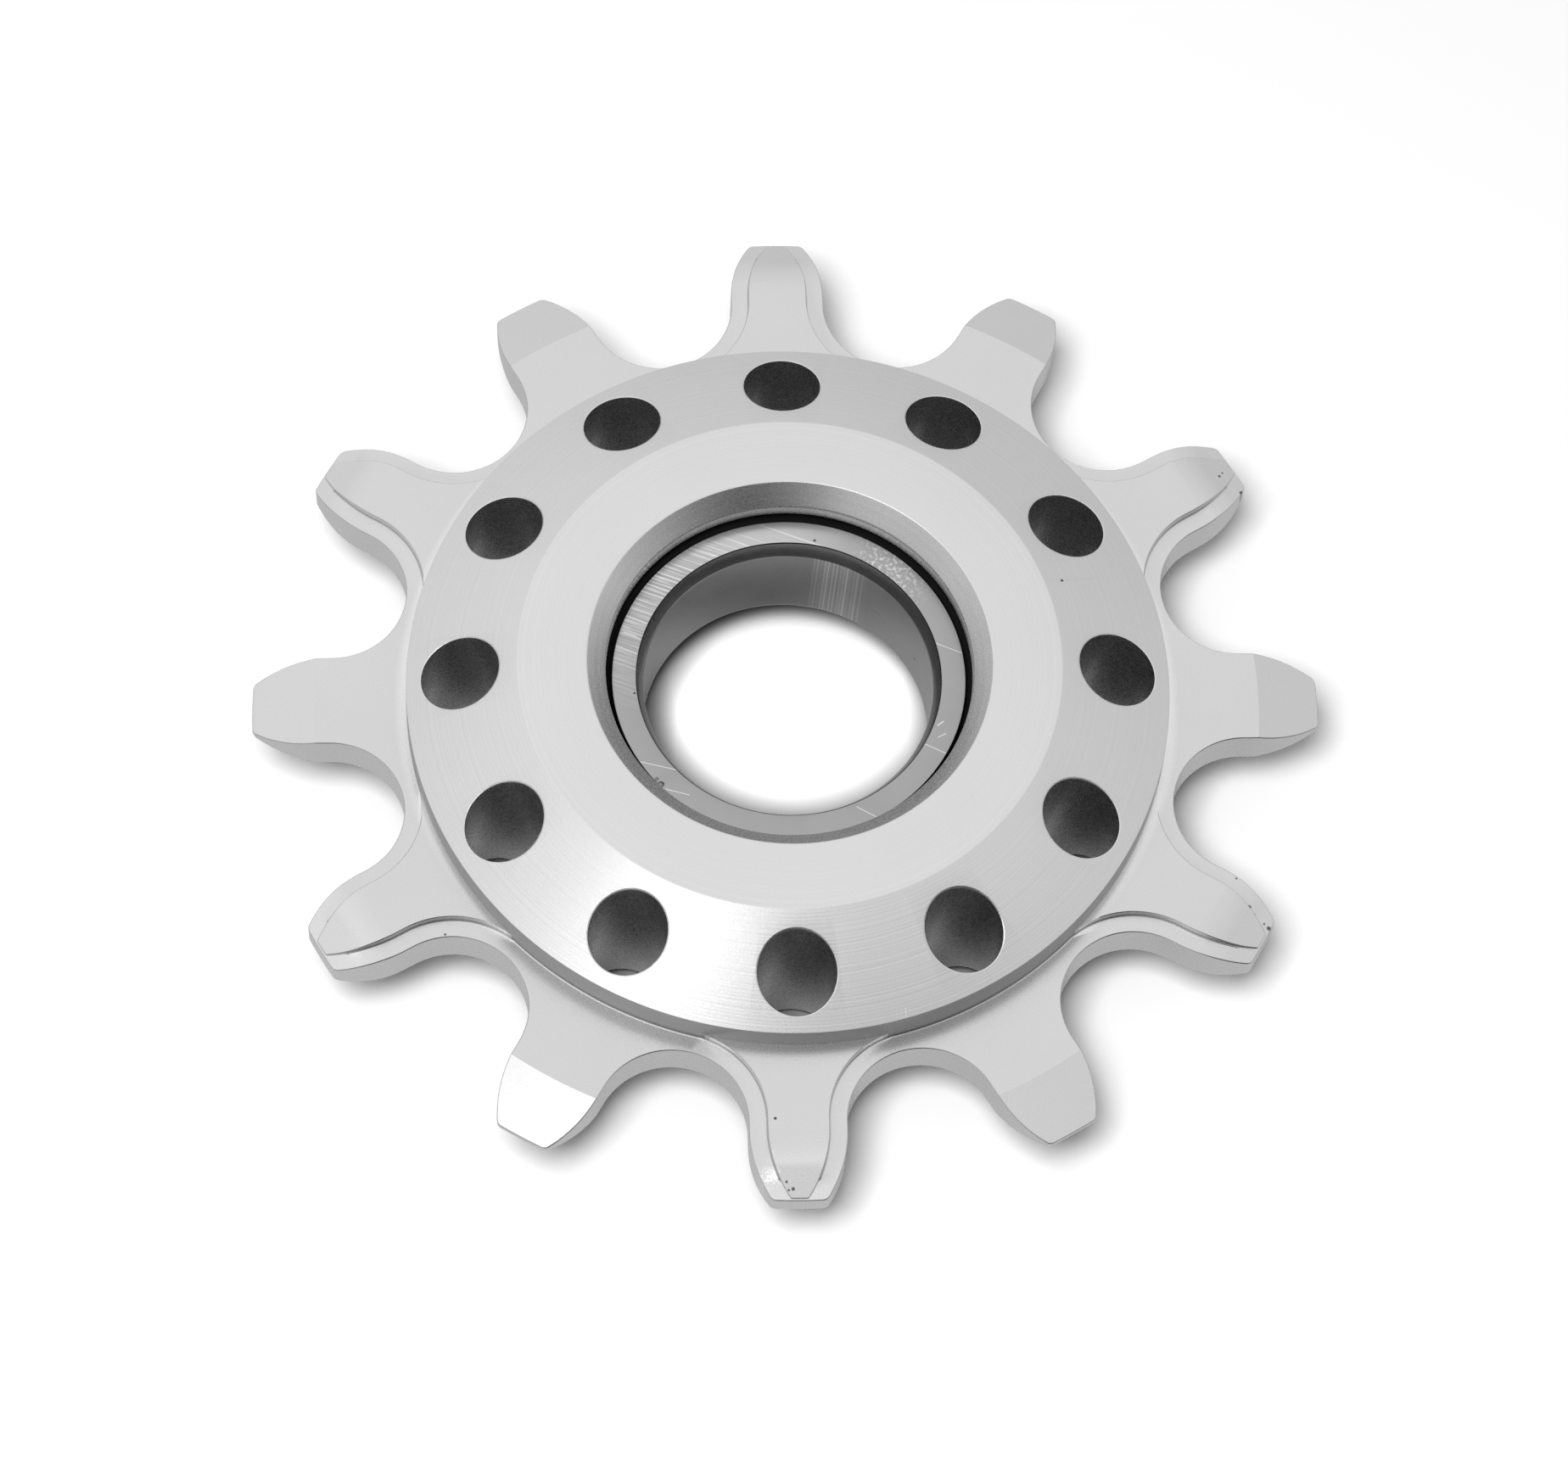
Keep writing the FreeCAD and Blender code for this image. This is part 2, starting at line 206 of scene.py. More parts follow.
# %% [markdown]
# The hub is turned from bar: a flat face, a cone that falls to the flange, and a straight
# flange wall that the teeth grow from. Inside, a pocket takes the bearing from behind and
# a thin lip holds it at the front. Every outside edge is broken by a few hundredths of a
# millimetre, as a deburring pass leaves it, and that is what catches the light.

# %% The hub
HUB_FACE_RADIUS = 14.0
CONE_DROP = 2.52
FLANGE_RADIUS = 19.75
LIP_RADIUS = RING_RADIUS + 0.32
LIP_CHAMFER = 0.97
LIP_ROUND = 0.25
LIP_RELIEF = 0.3
SHOULDER_RADIUS = 10.8
PLATE_THICKNESS = 2.25
FOOT_FILLET = 0.12
FOOT_STEPS = 8
FOOT_WIDTH = 0.25
SUNK = 0.008
POCKET_CHAMFER = 0.25
GROOVE_RADIUS = POCKET_RADIUS + 0.6
GROOVE_BACK = BEARING_BACK - 1.25
GROOVE_FRONT = BEARING_BACK + 0.05
BROKEN_EDGE = 0.06
CRISP_EDGE = 0.015


def hub():
    cone_foot = FRONT_FACE - CONE_DROP
    foot = MID + PLATE_THICKNESS / 2 - SUNK
    lip_top = FRONT_FACE - LIP_CHAMFER
    lip_outside = LIP_RADIUS + LIP_CHAMFER
    piece = outline("pulley_skin", [
        (HUB_FACE_RADIUS, FRONT_FACE),
        (FLANGE_RADIUS, cone_foot),
        (FLANGE_RADIUS, foot),
        (FLANGE_RADIUS + FOOT_WIDTH, foot),
        (FLANGE_RADIUS + FOOT_WIDTH, other_side(foot)),
        (FLANGE_RADIUS, other_side(foot)),
        (FLANGE_RADIUS, other_side(cone_foot)),
        (HUB_FACE_RADIUS, BACK_FACE),
        (POCKET_RADIUS + POCKET_CHAMFER, BACK_FACE),
        (POCKET_RADIUS, BACK_FACE + POCKET_CHAMFER),
        (POCKET_RADIUS, GROOVE_BACK),
        (GROOVE_RADIUS, GROOVE_BACK),
        (GROOVE_RADIUS, GROOVE_FRONT),
        (POCKET_RADIUS, GROOVE_FRONT),
        (POCKET_RADIUS, BEARING_FRONT),
        (SHOULDER_RADIUS, BEARING_FRONT),
        (SHOULDER_RADIUS, BEARING_FRONT + LIP_RELIEF),
        (LIP_RADIUS, BEARING_FRONT + LIP_RELIEF),
        (LIP_RADIUS, lip_top),
        (lip_outside, FRONT_FACE),
    ])
    break_corner(HUB_FACE_RADIUS, FRONT_FACE, BROKEN_EDGE, 2)
    break_corner(FLANGE_RADIUS, cone_foot, CRISP_EDGE)
    break_corner(FLANGE_RADIUS, other_side(cone_foot), CRISP_EDGE)
    break_corner(FLANGE_RADIUS, foot, FOOT_FILLET, FOOT_STEPS)
    break_corner(FLANGE_RADIUS, other_side(foot), FOOT_FILLET, FOOT_STEPS)
    break_corner(lip_outside, FRONT_FACE, BROKEN_EDGE / 2)
    break_corner(LIP_RADIUS, lip_top, LIP_ROUND * math.tan(math.pi / 8), 5)
    return turn()


pulley = hub()
print("hub:", len(pulley.data.polygons), "faces")

# %% [markdown]
# ## The ring of holes
# Twelve holes are drilled straight through the cone to save weight. One drill is placed,
# Spin copies it, and a boolean cuts all twelve at once. The cut leaves some points nearly
# on top of each other where a rim crosses the hub's own lines, so those are merged first,
# and then the rims are deburred.

# %% Drilling
TOOTH_COUNT = 12
STEP = 360 / TOOTH_COUNT
HOLE_RADIUS = 2.0
HOLE_CIRCLE = 16.95
DRILL_SIDES = 64
CROWDED = 0.06
SEAM = 0.002
RIM = 0.09


def combine(piece, operation, other):
    """Joins, cuts or keeps the shared part of two solids; the second is used up."""
    choose(piece)
    modifier = piece.modifiers.new("shape", "BOOLEAN")
    modifier.operation = operation
    modifier.solver = "EXACT"
    modifier.object = other
    bpy.ops.object.modifier_apply(modifier=modifier.name)
    bpy.data.objects.remove(other)


def turned_about_axis(piece, degrees):
    """Turns a mesh about the axle in its own data, so its object stays unturned."""
    piece.data.transform(Matrix.Rotation(math.radians(degrees), 4, "Z"))


def ring_of(piece, copies):
    edit(piece)
    bpy.ops.mesh.select_all(action="SELECT")
    step = 2 * math.pi / copies
    bpy.ops.mesh.spin(
        steps=copies - 1, angle=step * (copies - 1), dupli=True,
        center=(0, 0, 0), axis=(0, 0, 1),
    )
    tidy_mesh(SEAM)
    leave_edit()


def open_edges(piece):
    mesh = bmesh.new()
    mesh.from_mesh(piece.data)
    count = sum(not edge.is_manifold for edge in mesh.edges)
    mesh.free()
    return count


def drill_holes(piece):
    nothing_selected()
    bpy.ops.mesh.primitive_cylinder_add(
        vertices=DRILL_SIDES, radius=HOLE_RADIUS * MM, depth=2 * FRONT_FACE * MM,
        location=point(HOLE_CIRCLE, 0, MID),
    )
    drill = bpy.context.object
    bpy.ops.object.transform_apply(location=True)
    ring_of(drill, TOOTH_COUNT)
    combine(piece, "DIFFERENCE", drill)


def from_hole(vertex):
    """Distance from the axis of the nearest hole, in millimetres."""
    place = Vector((vertex.co.x, vertex.co.y)) / MM
    angle = math.radians(round(math.degrees(math.atan2(place.y, place.x)) / STEP) * STEP)
    return (place - HOLE_CIRCLE * Vector((math.cos(angle), math.sin(angle)))).length


def rim_edge(edge):
    upright = abs((edge.verts[0].co - edge.verts[1].co).normalized().z) > 0.99
    return not upright and all(abs(from_hole(v) - HOLE_RADIUS) < 0.004 for v in edge.verts)


def on_rim(vertex):
    return any(rim_edge(edge) for edge in vertex.link_edges)


drill_holes(pulley)
edit(pulley)
pick("VERT", on_rim)
bpy.ops.mesh.remove_doubles(threshold=CROWDED * MM)
print("rim edges:", pick("EDGE", rim_edge))
bevel("EDGES", RIM, 2)
leave_edit()
print("drilled hub:", len(pulley.data.polygons), "faces,", open_edges(pulley), "open edges")

# %% [markdown]
# ## Teeth
# A roller chain fixes the shape of the gap between two teeth: a round seat a hair larger
# than the roller, a short straight run, and then a convex flank that lets the chain leave.
# Half a tooth is drawn as that line, a Mirror modifier makes the other half, and an
# extrusion gives it thickness. Two kinds are needed, because the gap between a chain's
# side plates is narrow and wide by turns: narrow teeth are thin plates with a long bevel,
# and wide teeth carry a raised land on both faces.

# %% Half a tooth, mirrored
CHAIN_PITCH = 12.7
SEAT_RADIUS = 3.87
PITCH_RADIUS = CHAIN_PITCH / 2 / math.sin(math.radians(STEP / 2))
TIP_HALF_WIDTH = 1.38
TIP_CORNER = 0.2
FLANK_STRAIGHT = 0.5
CORE_RADIUS = FLANGE_RADIUS - 0.6
SEAT_STEPS, FLANK_STEPS = 20, 16
CORE_STEPS, TIP_STEPS, CORNER_STEPS = 8, 4, 6


def polar(radius, degrees, height=0):
    angle = math.radians(degrees)
    return point(radius * math.cos(angle), radius * math.sin(angle), height)


def tooth(name, thickness, inset=0, tip_half_width=TIP_HALF_WIDTH, trim=0, tip_gap=0):
    """An upright slab with a tooth's outline.

    An inset moves the flanks into the metal. A trim starts the seat some degrees late.
    """
    floor = MID - thickness / 2
    seat_radius = SEAT_RADIUS + inset
    tip_radius = TIP_RADIUS - tip_gap
    tip_degrees = math.degrees(math.asin(tip_half_width / tip_radius))
    seat = polar(PITCH_RADIUS, STEP / 2, floor)
    root = seat + polar(seat_radius, 180 + STEP / 2 + trim)
    knee = seat + point(FLANK_STRAIGHT, -seat_radius, 0)
    tip = polar(tip_radius, tip_degrees, floor)
    rise, drop = tip.x - knee.x, knee.y - tip.y
    flank_radius = (rise ** 2 + drop ** 2) / (2 * drop)
    flank_centre = knee - Vector((0, flank_radius, 0))

    piece = begin_line(name, polar(CORE_RADIUS, 0, floor))
    arc(point(0, 0, floor), math.degrees(math.atan2(root.y, root.x)), CORE_STEPS)
    line_to(root)
    arc(seat, 90 - STEP / 2 - trim, SEAT_STEPS)
    line_to(knee)
    arc(flank_centre, -math.degrees(math.asin(rise / flank_radius)), FLANK_STEPS)
    arc(point(0, 0, floor), -tip_degrees, TIP_STEPS)
    if inset == 0:
        pick_point(tip)
        bevel("VERTICES", TIP_CORNER, CORNER_STEPS)
    leave_edit()
    mirror(piece)
    edit(piece)
    bpy.ops.mesh.select_all(action="SELECT")
    bpy.ops.mesh.edge_face_add()
    raise_slab(thickness)
    return piece


def mirror(piece):
    modifier = piece.modifiers.new("other half", "MIRROR")
    modifier.use_axis = (False, True, False)
    modifier.merge_threshold = 0.001 * MM
    bpy.ops.object.modifier_apply(modifier=modifier.name)


def raise_slab(thickness):
    upwards = {"value": point(0, 0, thickness)}
    bpy.ops.mesh.extrude_region_move(TRANSFORM_OT_translate=upwards)
    tidy_mesh()
    leave_edit()


# %% [markdown]
# A lathe tool thins the narrow teeth towards their tips, so their bevels are parts of two
# shallow cones with a crisp crest. A disc with those cones is turned, and the slab keeps
# only what lies inside it. The wide teeth are milled straight across and their crests are
# soft, so for them the same outline is rounded at the crest and drawn out into a bar.

# %% Bevels by a boolean
RIM_RUN = 0.3
LIFT = 0.003
BAR_WIDTH = 12
SOFT_CREST, SOFT_STEPS = 0.8, 5


def bevel_outline(thickness, tip_thickness, length, soft=0):
    """Half of a section whose slopes meet a slab's faces this far inside the tip circle.

    A soft crest blends slope and face over that many millimetres each way.
    """
    slope = (thickness - tip_thickness) / 2 / length
    level = MID + thickness / 2 + LIFT
    crest_radius = TIP_RADIUS - length - LIFT / slope
    rim = MID + tip_thickness / 2 - slope * RIM_RUN
    outline("bevel", [
        (CORE_RADIUS - 1, level),
        (crest_radius, level),
        (TIP_RADIUS + RIM_RUN, rim),
        (TIP_RADIUS + RIM_RUN, other_side(rim)),
        (crest_radius, other_side(level)),
        (CORE_RADIUS - 1, other_side(level)),
    ])
    if soft:
        break_corner(crest_radius, level, soft, SOFT_STEPS)
        break_corner(crest_radius, other_side(level), soft, SOFT_STEPS)


def bevel_disc(thickness, tip_thickness, length):
    bevel_outline(thickness, tip_thickness, length)
    return turn()


def bevel_bar(thickness, tip_thickness, length):
    bevel_outline(thickness, tip_thickness, length, SOFT_CREST)
    bpy.ops.mesh.select_all(action="SELECT")
    bpy.ops.mesh.edge_face_add()
    bpy.ops.transform.translate(value=point(0, -BAR_WIDTH / 2, 0))
    bpy.ops.mesh.extrude_region_move(TRANSFORM_OT_translate={"value": point(0, BAR_WIDTH, 0)})
    tidy_mesh()
    return leave_edit()


# %% [markdown]
# Along its sides the land of a wide tooth stands in a small fillet, left by the round
# nose of the milling cutter. There the inward edges are picked by the angle between their
# faces and bevelled. They run on into the flange, so no end of the fillet shows.

# %% The two kinds of tooth
NARROW_TIP, NARROW_BEVEL = 0.3, 3.2
LEDGE_TIP, LEDGE_BEVEL = 1.15, 1.9
LAND_THICKNESS, LAND_TIP, LAND_BEVEL = 3.2, 1.32, 2.4
LAND_INSET = 0.92
LAND_TIP_HALF_WIDTH = 0.45
LAND_TRIM = 2
LAND_TIP_GAP = 0.09
CREASE_FILLET = 0.1
CREASE_START, CREASE_END = CORE_RADIUS + 0.2, TIP_RADIUS - 0.8
INWARD = math.radians(-60)


def radius_of(place):
    """Distance from the axle in millimetres."""
    return math.hypot(place.x, place.y) / MM


def land_foot(edge):
    """True along the inward corner between the side of a land and its ledge."""
    if not edge.is_manifold or edge.calc_face_angle_signed() > INWARD:
        return False
    return all(CREASE_START < radius_of(v.co) < CREASE_END for v in edge.verts)


def narrow_tooth():
    blank = tooth("narrow_tooth", PLATE_THICKNESS)
    combine(blank, "INTERSECT", bevel_disc(PLATE_THICKNESS, NARROW_TIP, NARROW_BEVEL))
    return blank


def wide_tooth():
    blank = tooth("wide_tooth", PLATE_THICKNESS)
    combine(blank, "INTERSECT", bevel_bar(PLATE_THICKNESS, LEDGE_TIP, LEDGE_BEVEL))
    land = tooth(
        "land", LAND_THICKNESS, LAND_INSET, LAND_TIP_HALF_WIDTH, LAND_TRIM, LAND_TIP_GAP,
    )
    combine(land, "INTERSECT", bevel_bar(LAND_THICKNESS, LAND_TIP, LAND_BEVEL))
    combine(blank, "UNION", land)
    edit(blank)
    tidy_mesh(SEAM)
    pick("EDGE", land_foot)
    bevel("EDGES", CREASE_FILLET, 4)
    leave_edit()
    return blank


narrow, wide = narrow_tooth(), wide_tooth()
print("narrow tooth:", len(narrow.data.polygons), "faces; wide:", len(wide.data.polygons))

# %% [markdown]
# Deburring leaves a narrow bright line along every outside edge. The sharp outward edges
# are found by the angle between their faces, and bevelled by 0.04 mm before the teeth are
# copied, so that the work is done twice and not twelve times.

# %% Deburred edges, and the side walls removed
DEBURR = 0.04
SHARP = math.radians(30)
SIDE_PLANE_DEGREES = STEP / 2 - 0.01


def on_side(vertex):
    """True on the two planes where a tooth meets its neighbours."""
    return abs(math.degrees(math.atan2(vertex.co.y, vertex.co.x))) > SIDE_PLANE_DEGREES


def side_face(face):
    return all(on_side(v) for v in face.verts) and abs(face.normal.y) > abs(face.normal.x)


def outward_edge(edge):
    if not edge.is_manifold or edge.calc_face_angle_signed() < SHARP:
        return False
    if all(on_side(v) for v in edge.verts):
        return False
    return all(radius_of(v.co) > FLANGE_RADIUS + FOOT_WIDTH for v in edge.verts)


def deburr(piece):
    edit(piece)
    bpy.ops.mesh.select_all(action="SELECT")
    bpy.ops.mesh.remove_doubles(threshold=SEAM * MM)
    count = pick("EDGE", outward_edge)
    bevel("EDGES", DEBURR)
    pick("FACE", side_face)
    bpy.ops.mesh.delete(type="ONLY_FACE")
    leave_edit()
    return count


print("edges deburred:", deburr(narrow), "and", deburr(wide))

# %% [markdown]
# The wide tooth takes its place one step round, and Spin, with copies in place of a swept
# skin, repeats the pair. Merging the doubled points along the seams closes the ring.

# %% Twelve teeth in a ring
turned_about_axis(wide, STEP)
nothing_selected()
narrow.select_set(True)
wide.select_set(True)
bpy.context.view_layer.objects.active = narrow
bpy.ops.object.join()
ring_of(narrow, TOOTH_COUNT // 2)
print("tooth ring:", len(narrow.data.polygons), "faces,", open_edges(narrow), "open edges")

# %% [markdown]
# A used wheel carries small knocks. Each is a round pit, such as a grain of grit leaves when
# it is pressed in, so a small ball is set at every place and all of them are cut away
# together. Hub and teeth get theirs while they are still apart, and then they are joined.

# %% Pits, and the wheel in one piece
HUB_PITS = [(14.23, 4.75, 10.58, 0.07)]
TOOTH_PITS = [(-1.17, -23.77, 7.12, 0.07)]


def knock(piece, pits):
    """Cuts a round pit for each x, y, height and radius in millimetres."""
    grit = []
    nothing_selected()
    for x, y, height, radius in pits:
        bpy.ops.mesh.primitive_ico_sphere_add(
            subdivisions=2, radius=radius * MM, location=point(x, y, height),
        )
        grit.append(bpy.context.object)
    for grain in grit:
        grain.select_set(True)
    bpy.context.view_layer.objects.active = grit[0]
    bpy.ops.object.join()
    bpy.ops.object.transform_apply(location=True)
    combine(piece, "DIFFERENCE", bpy.context.object)


knock(pulley, HUB_PITS)
knock(narrow, TOOTH_PITS)
combine(pulley, "UNION", narrow)
finish_surface(pulley)
print("hub and teeth:", len(pulley.data.polygons), "faces,", open_edges(pulley), "open edges")

# %% [markdown]
# ## The bearing
# Both rings are ground steel, and each has a round groove that the balls run in. The groove
# is swept about its own centre before the outline goes on round the ring. The ends are the
# same, so each corner is given once and mirrored across the middle of the wheel.

# %% Bearing rings
BORE_RADIUS = 7.5
BORE_CHAMFER_DEPTH, BORE_CHAMFER_WIDTH = 0.8, 0.38
OUTER_RING_BORE = POCKET_RADIUS - (RING_RADIUS - BORE_RADIUS)
OUTER_RING_CHAMFER = 0.3
BALL_RADIUS = (size_of("ball_01")[2] - size_of("ball_01")[1]) / 2
BALL_CIRCLE = (RING_RADIUS + OUTER_RING_BORE) / 2
RACEWAY_RADIUS = BALL_RADIUS * 1.04
RACEWAY_STEPS = 16
BALL_PLAY = 0.02
SEAL_GROOVE = OUTER_RING_BORE + 0.3
SEAL_FRONT, SEAL_BACK = BEARING_FRONT - 0.25, BEARING_FRONT - 0.95
SEAL_ROOM = 0.03
RING_EDGE = 0.06
GROUND_EDGE = 0.05
RING_PITS = [
    (1.53, 8.01, 9.02, 0.07), (-7.98, -0.87, 9.02, 0.06), (6.83, 3.1, 4.92, 0.07),
]
RING_NICKS = [(-6.69, -6.1, 9.06, 0.2), (-6.9, -5.8, 9.05, 0.12)]


def bearing_ring(name, wall_radius, inward, corners):
    """A ring's outline: its raceway, the front corners, then the same at the back."""
    centre = BALL_CIRCLE - inward * (RACEWAY_RADIUS - BALL_RADIUS - BALL_PLAY)
    half_width = math.sqrt(RACEWAY_RADIUS ** 2 - (wall_radius - centre) ** 2)
    sweep = 2 * math.degrees(math.asin(half_width / RACEWAY_RADIUS))
    piece = begin_line(name, point(wall_radius, 0, MID - half_width))
    arc(point(centre, 0, MID), -inward * sweep, RACEWAY_STEPS, axis=(0, 1, 0))
    path = corners + [(radius, other_side(height)) for radius, height in reversed(corners)]
    for radius, height in path + [(wall_radius, MID - half_width)]:
        line_to(point(radius, 0, height))
    tidy_mesh()
    return piece


def break_both(radius, height, width, segments=1):
    break_corner(radius, height, width, segments)
    break_corner(radius, other_side(height), width, segments)


def inner_ring():
    chamfer_radius = BORE_RADIUS + BORE_CHAMFER_WIDTH
    chamfer_foot = BEARING_FRONT - BORE_CHAMFER_DEPTH
    bearing_ring("inner_ring_skin", RING_RADIUS, -1, [
        (RING_RADIUS, BEARING_FRONT),
        (chamfer_radius, BEARING_FRONT),
        (BORE_RADIUS, chamfer_foot),
    ])
    break_both(RING_RADIUS, BEARING_FRONT, RING_EDGE, 3)
    break_both(chamfer_radius, BEARING_FRONT, GROUND_EDGE, 3)
    break_both(BORE_RADIUS, chamfer_foot, GROUND_EDGE * 2, 3)
    return turn()


def outer_ring():
    bearing_ring("outer_ring_skin", OUTER_RING_BORE, 1, [
        (OUTER_RING_BORE, SEAL_BACK - SEAL_ROOM),
        (SEAL_GROOVE, SEAL_BACK - SEAL_ROOM),
        (SEAL_GROOVE, SEAL_FRONT + SEAL_ROOM),
        (OUTER_RING_BORE, SEAL_FRONT + SEAL_ROOM),
        (OUTER_RING_BORE, BEARING_FRONT),
        (POCKET_RADIUS - OUTER_RING_CHAMFER, BEARING_FRONT),
        (POCKET_RADIUS, BEARING_FRONT - OUTER_RING_CHAMFER),
    ])
    break_both(OUTER_RING_BORE, BEARING_FRONT, GROUND_EDGE, 2)
    break_both(POCKET_RADIUS - OUTER_RING_CHAMFER, BEARING_FRONT, GROUND_EDGE, 2)
    return turn()


ring_inside, ring_outside = inner_ring(), outer_ring()
knock(ring_inside, RING_PITS + RING_NICKS)
print("knocked ring:", open_edges(ring_inside), "open edges")
finish_surface(ring_inside, 20)
finish_surface(ring_outside, 20)
print("rings:", len(ring_inside.data.polygons), "and", len(ring_outside.data.polygons), "faces")

# %% [markdown]
# Each seal is a moulded rubber washer. Its thick rim snaps into the outer ring, its thin
# web spans the balls, and its lip runs on the inner ring. Moulded rubber has no sharp
# corner anywhere, so all of its corners are rounded. The rear seal is the front one turned
# over, as its own mesh.

# %% Seals
SEAL_RADIUS = SEAL_GROOVE - SEAL_ROOM
SEAL_RIM = SEAL_RADIUS - 0.45
SEAL_LIP = RING_RADIUS + 0.05
SEAL_LIP_LENGTH = 0.25
WEB_STEP = 0.15
MOULD_ROUND = 0.06


def front_seal():
    corners = [
        (SEAL_RADIUS, SEAL_BACK),
        (SEAL_RADIUS, SEAL_FRONT),
        (SEAL_RIM, SEAL_FRONT),
        (SEAL_RIM - WEB_STEP, SEAL_FRONT - WEB_STEP),
        (SEAL_LIP + SEAL_LIP_LENGTH, SEAL_FRONT - WEB_STEP),
        (SEAL_LIP, (SEAL_FRONT + SEAL_BACK) / 2),
        (SEAL_LIP, SEAL_BACK + WEB_STEP),
        (SEAL_RIM - WEB_STEP, SEAL_BACK + WEB_STEP),
        (SEAL_RIM, SEAL_BACK),
    ]
    outline("front_seal_skin", corners)
    for radius, height in corners:
        break_corner(radius, height, MOULD_ROUND, 4)
    return turn()


def turned_over(piece, name):
    """A copy on the other side of the wheel's middle plane, with its own mesh."""
    choose(piece)
    bpy.ops.object.duplicate()
    copy = bpy.context.object
    copy.name = name
    edit(copy)
    bpy.ops.mesh.select_all(action="SELECT")
    bpy.ops.transform.mirror(
        constraint_axis=(False, False, True), center_override=point(0, 0, MID),
    )
    tidy_mesh()
    leave_edit()
    return copy


seal_front = front_seal()
finish_surface(seal_front, 40)
seal_rear = turned_over(seal_front, "rear_seal_skin")
print("seal:", len(seal_front.data.polygons), "faces")

# %% [markdown]
# The retaining ring is punched from spring steel: an open band with an eye at each end for
# the pliers. Half of its outline is drawn and mirrored, it is raised to its thickness, two
# pins bore its eyes, and tumbling rounds all of its edges.

# %% Retaining ring
CLIP_THICKNESS = 1.2
CLIP_BAND_RADIUS = GROOVE_RADIUS - 1.9
CLIP_LUG_RADIUS = RING_RADIUS + 0.4
CLIP_GAP_DEGREES = 12
CLIP_LUG_DEGREES = 18
CLIP_LUG_ROUND = 0.5
CLIP_LUG_STEPS, CLIP_OUTSIDE_STEPS, CLIP_INSIDE_STEPS = 12, 120, 110
CLIP_EYE_RADIUS = 0.75
CLIP_EYE_DEGREES = CLIP_GAP_DEGREES + CLIP_LUG_DEGREES / 2
PIN_SIDES, PIN_LENGTH = 48, 4
TUMBLED = 0.07


def clip_blank():
    floor = BEARING_BACK - CLIP_THICKNESS
    end, lug = CLIP_GAP_DEGREES, CLIP_GAP_DEGREES + CLIP_LUG_DEGREES
    piece = begin_line("retaining_ring_skin", polar(GROOVE_RADIUS, 180, floor))
    arc(point(0, 0, floor), end - 180, CLIP_OUTSIDE_STEPS)
    line_to(polar(CLIP_LUG_RADIUS, end, floor))
    arc(point(0, 0, floor), CLIP_LUG_DEGREES, CLIP_LUG_STEPS)
    line_to(polar(CLIP_BAND_RADIUS, lug, floor))
    arc(point(0, 0, floor), 180 - lug, CLIP_INSIDE_STEPS)
    for degrees in (end, lug):
        pick_point(polar(CLIP_LUG_RADIUS, degrees, floor))
        bevel("VERTICES", CLIP_LUG_ROUND, CORNER_STEPS)
    leave_edit()
    mirror(piece)
    edit(piece)
    bpy.ops.mesh.select_all(action="SELECT")
    bpy.ops.mesh.edge_face_add()
    raise_slab(CLIP_THICKNESS)
    return piece


def bore_eye(piece, degrees):
    nothing_selected()
    centre = polar((CLIP_LUG_RADIUS + GROOVE_RADIUS) / 2, degrees, BEARING_BACK)
    bpy.ops.mesh.primitive_cylinder_add(
        vertices=PIN_SIDES, radius=CLIP_EYE_RADIUS * MM, depth=PIN_LENGTH * MM, location=centre,
    )
    pin = bpy.context.object
    bpy.ops.object.transform_apply(location=True)
    combine(piece, "DIFFERENCE", pin)


def flat_edge(edge):
    level = abs(edge.verts[0].co.z - edge.verts[1].co.z) < 0.001 * MM
    return level and edge.is_manifold and edge.calc_face_angle() > math.radians(60)


clip = clip_blank()
for degrees in (CLIP_EYE_DEGREES, -CLIP_EYE_DEGREES):
    bore_eye(clip, degrees)
edit(clip)
pick("EDGE", flat_edge)
bevel("EDGES", TUMBLED, 3)
leave_edit()
finish_surface(clip, 31)
print("retaining ring:", len(clip.data.polygons), "faces,", open_edges(clip), "open edges")

# %% [markdown]
# ## Onto the frame
# Each skin stands for one CAD solid and rides on the same body, so the pulley turns about
# its axle and carries its teeth, seals and retaining ring with it. The inner ring stays
# behind on the axle. The balls and their cage keep their CAD solids.

# %% Skins take their places
SKINS = [
    (pulley, "pulley_body", "pulley", "anodised_aluminium"),
    (ring_inside, "bearing_inner_ring", "axle_side", "ground_steel"),
    (ring_outside, "bearing_outer_ring", "pulley", "ground_steel"),
    (seal_front, "front_seal", "pulley", "seal_rubber"),
    (seal_rear, "rear_seal", "pulley", "seal_rubber"),
    (clip, "retaining_ring", "pulley", "spring_steel"),
]
for skin, node, body, slot in SKINS:
    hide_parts(node)
    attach(skin, body)
print("skins:", len(SKINS))

# %% [markdown]
# ## Finishes
# Every finish is a small network of nodes. One function adds a node, sets it and links
# what feeds it. Colours are given as the eye reads them off a screen, and one function
# turns them into the linear values that light is reckoned in. The coordinates are in
# metres, so the scale of a pattern is written as so many to the millimetre, over MM.

# %% Nodes and colours
def linear(colour):
    channels = [int(colour[i:i + 2], 16) / 255 for i in (1, 3, 5)]
    return [c / 12.92 if c <= 0.04045 else ((c + 0.055) / 1.055) ** 2.4 for c in channels] + [1]


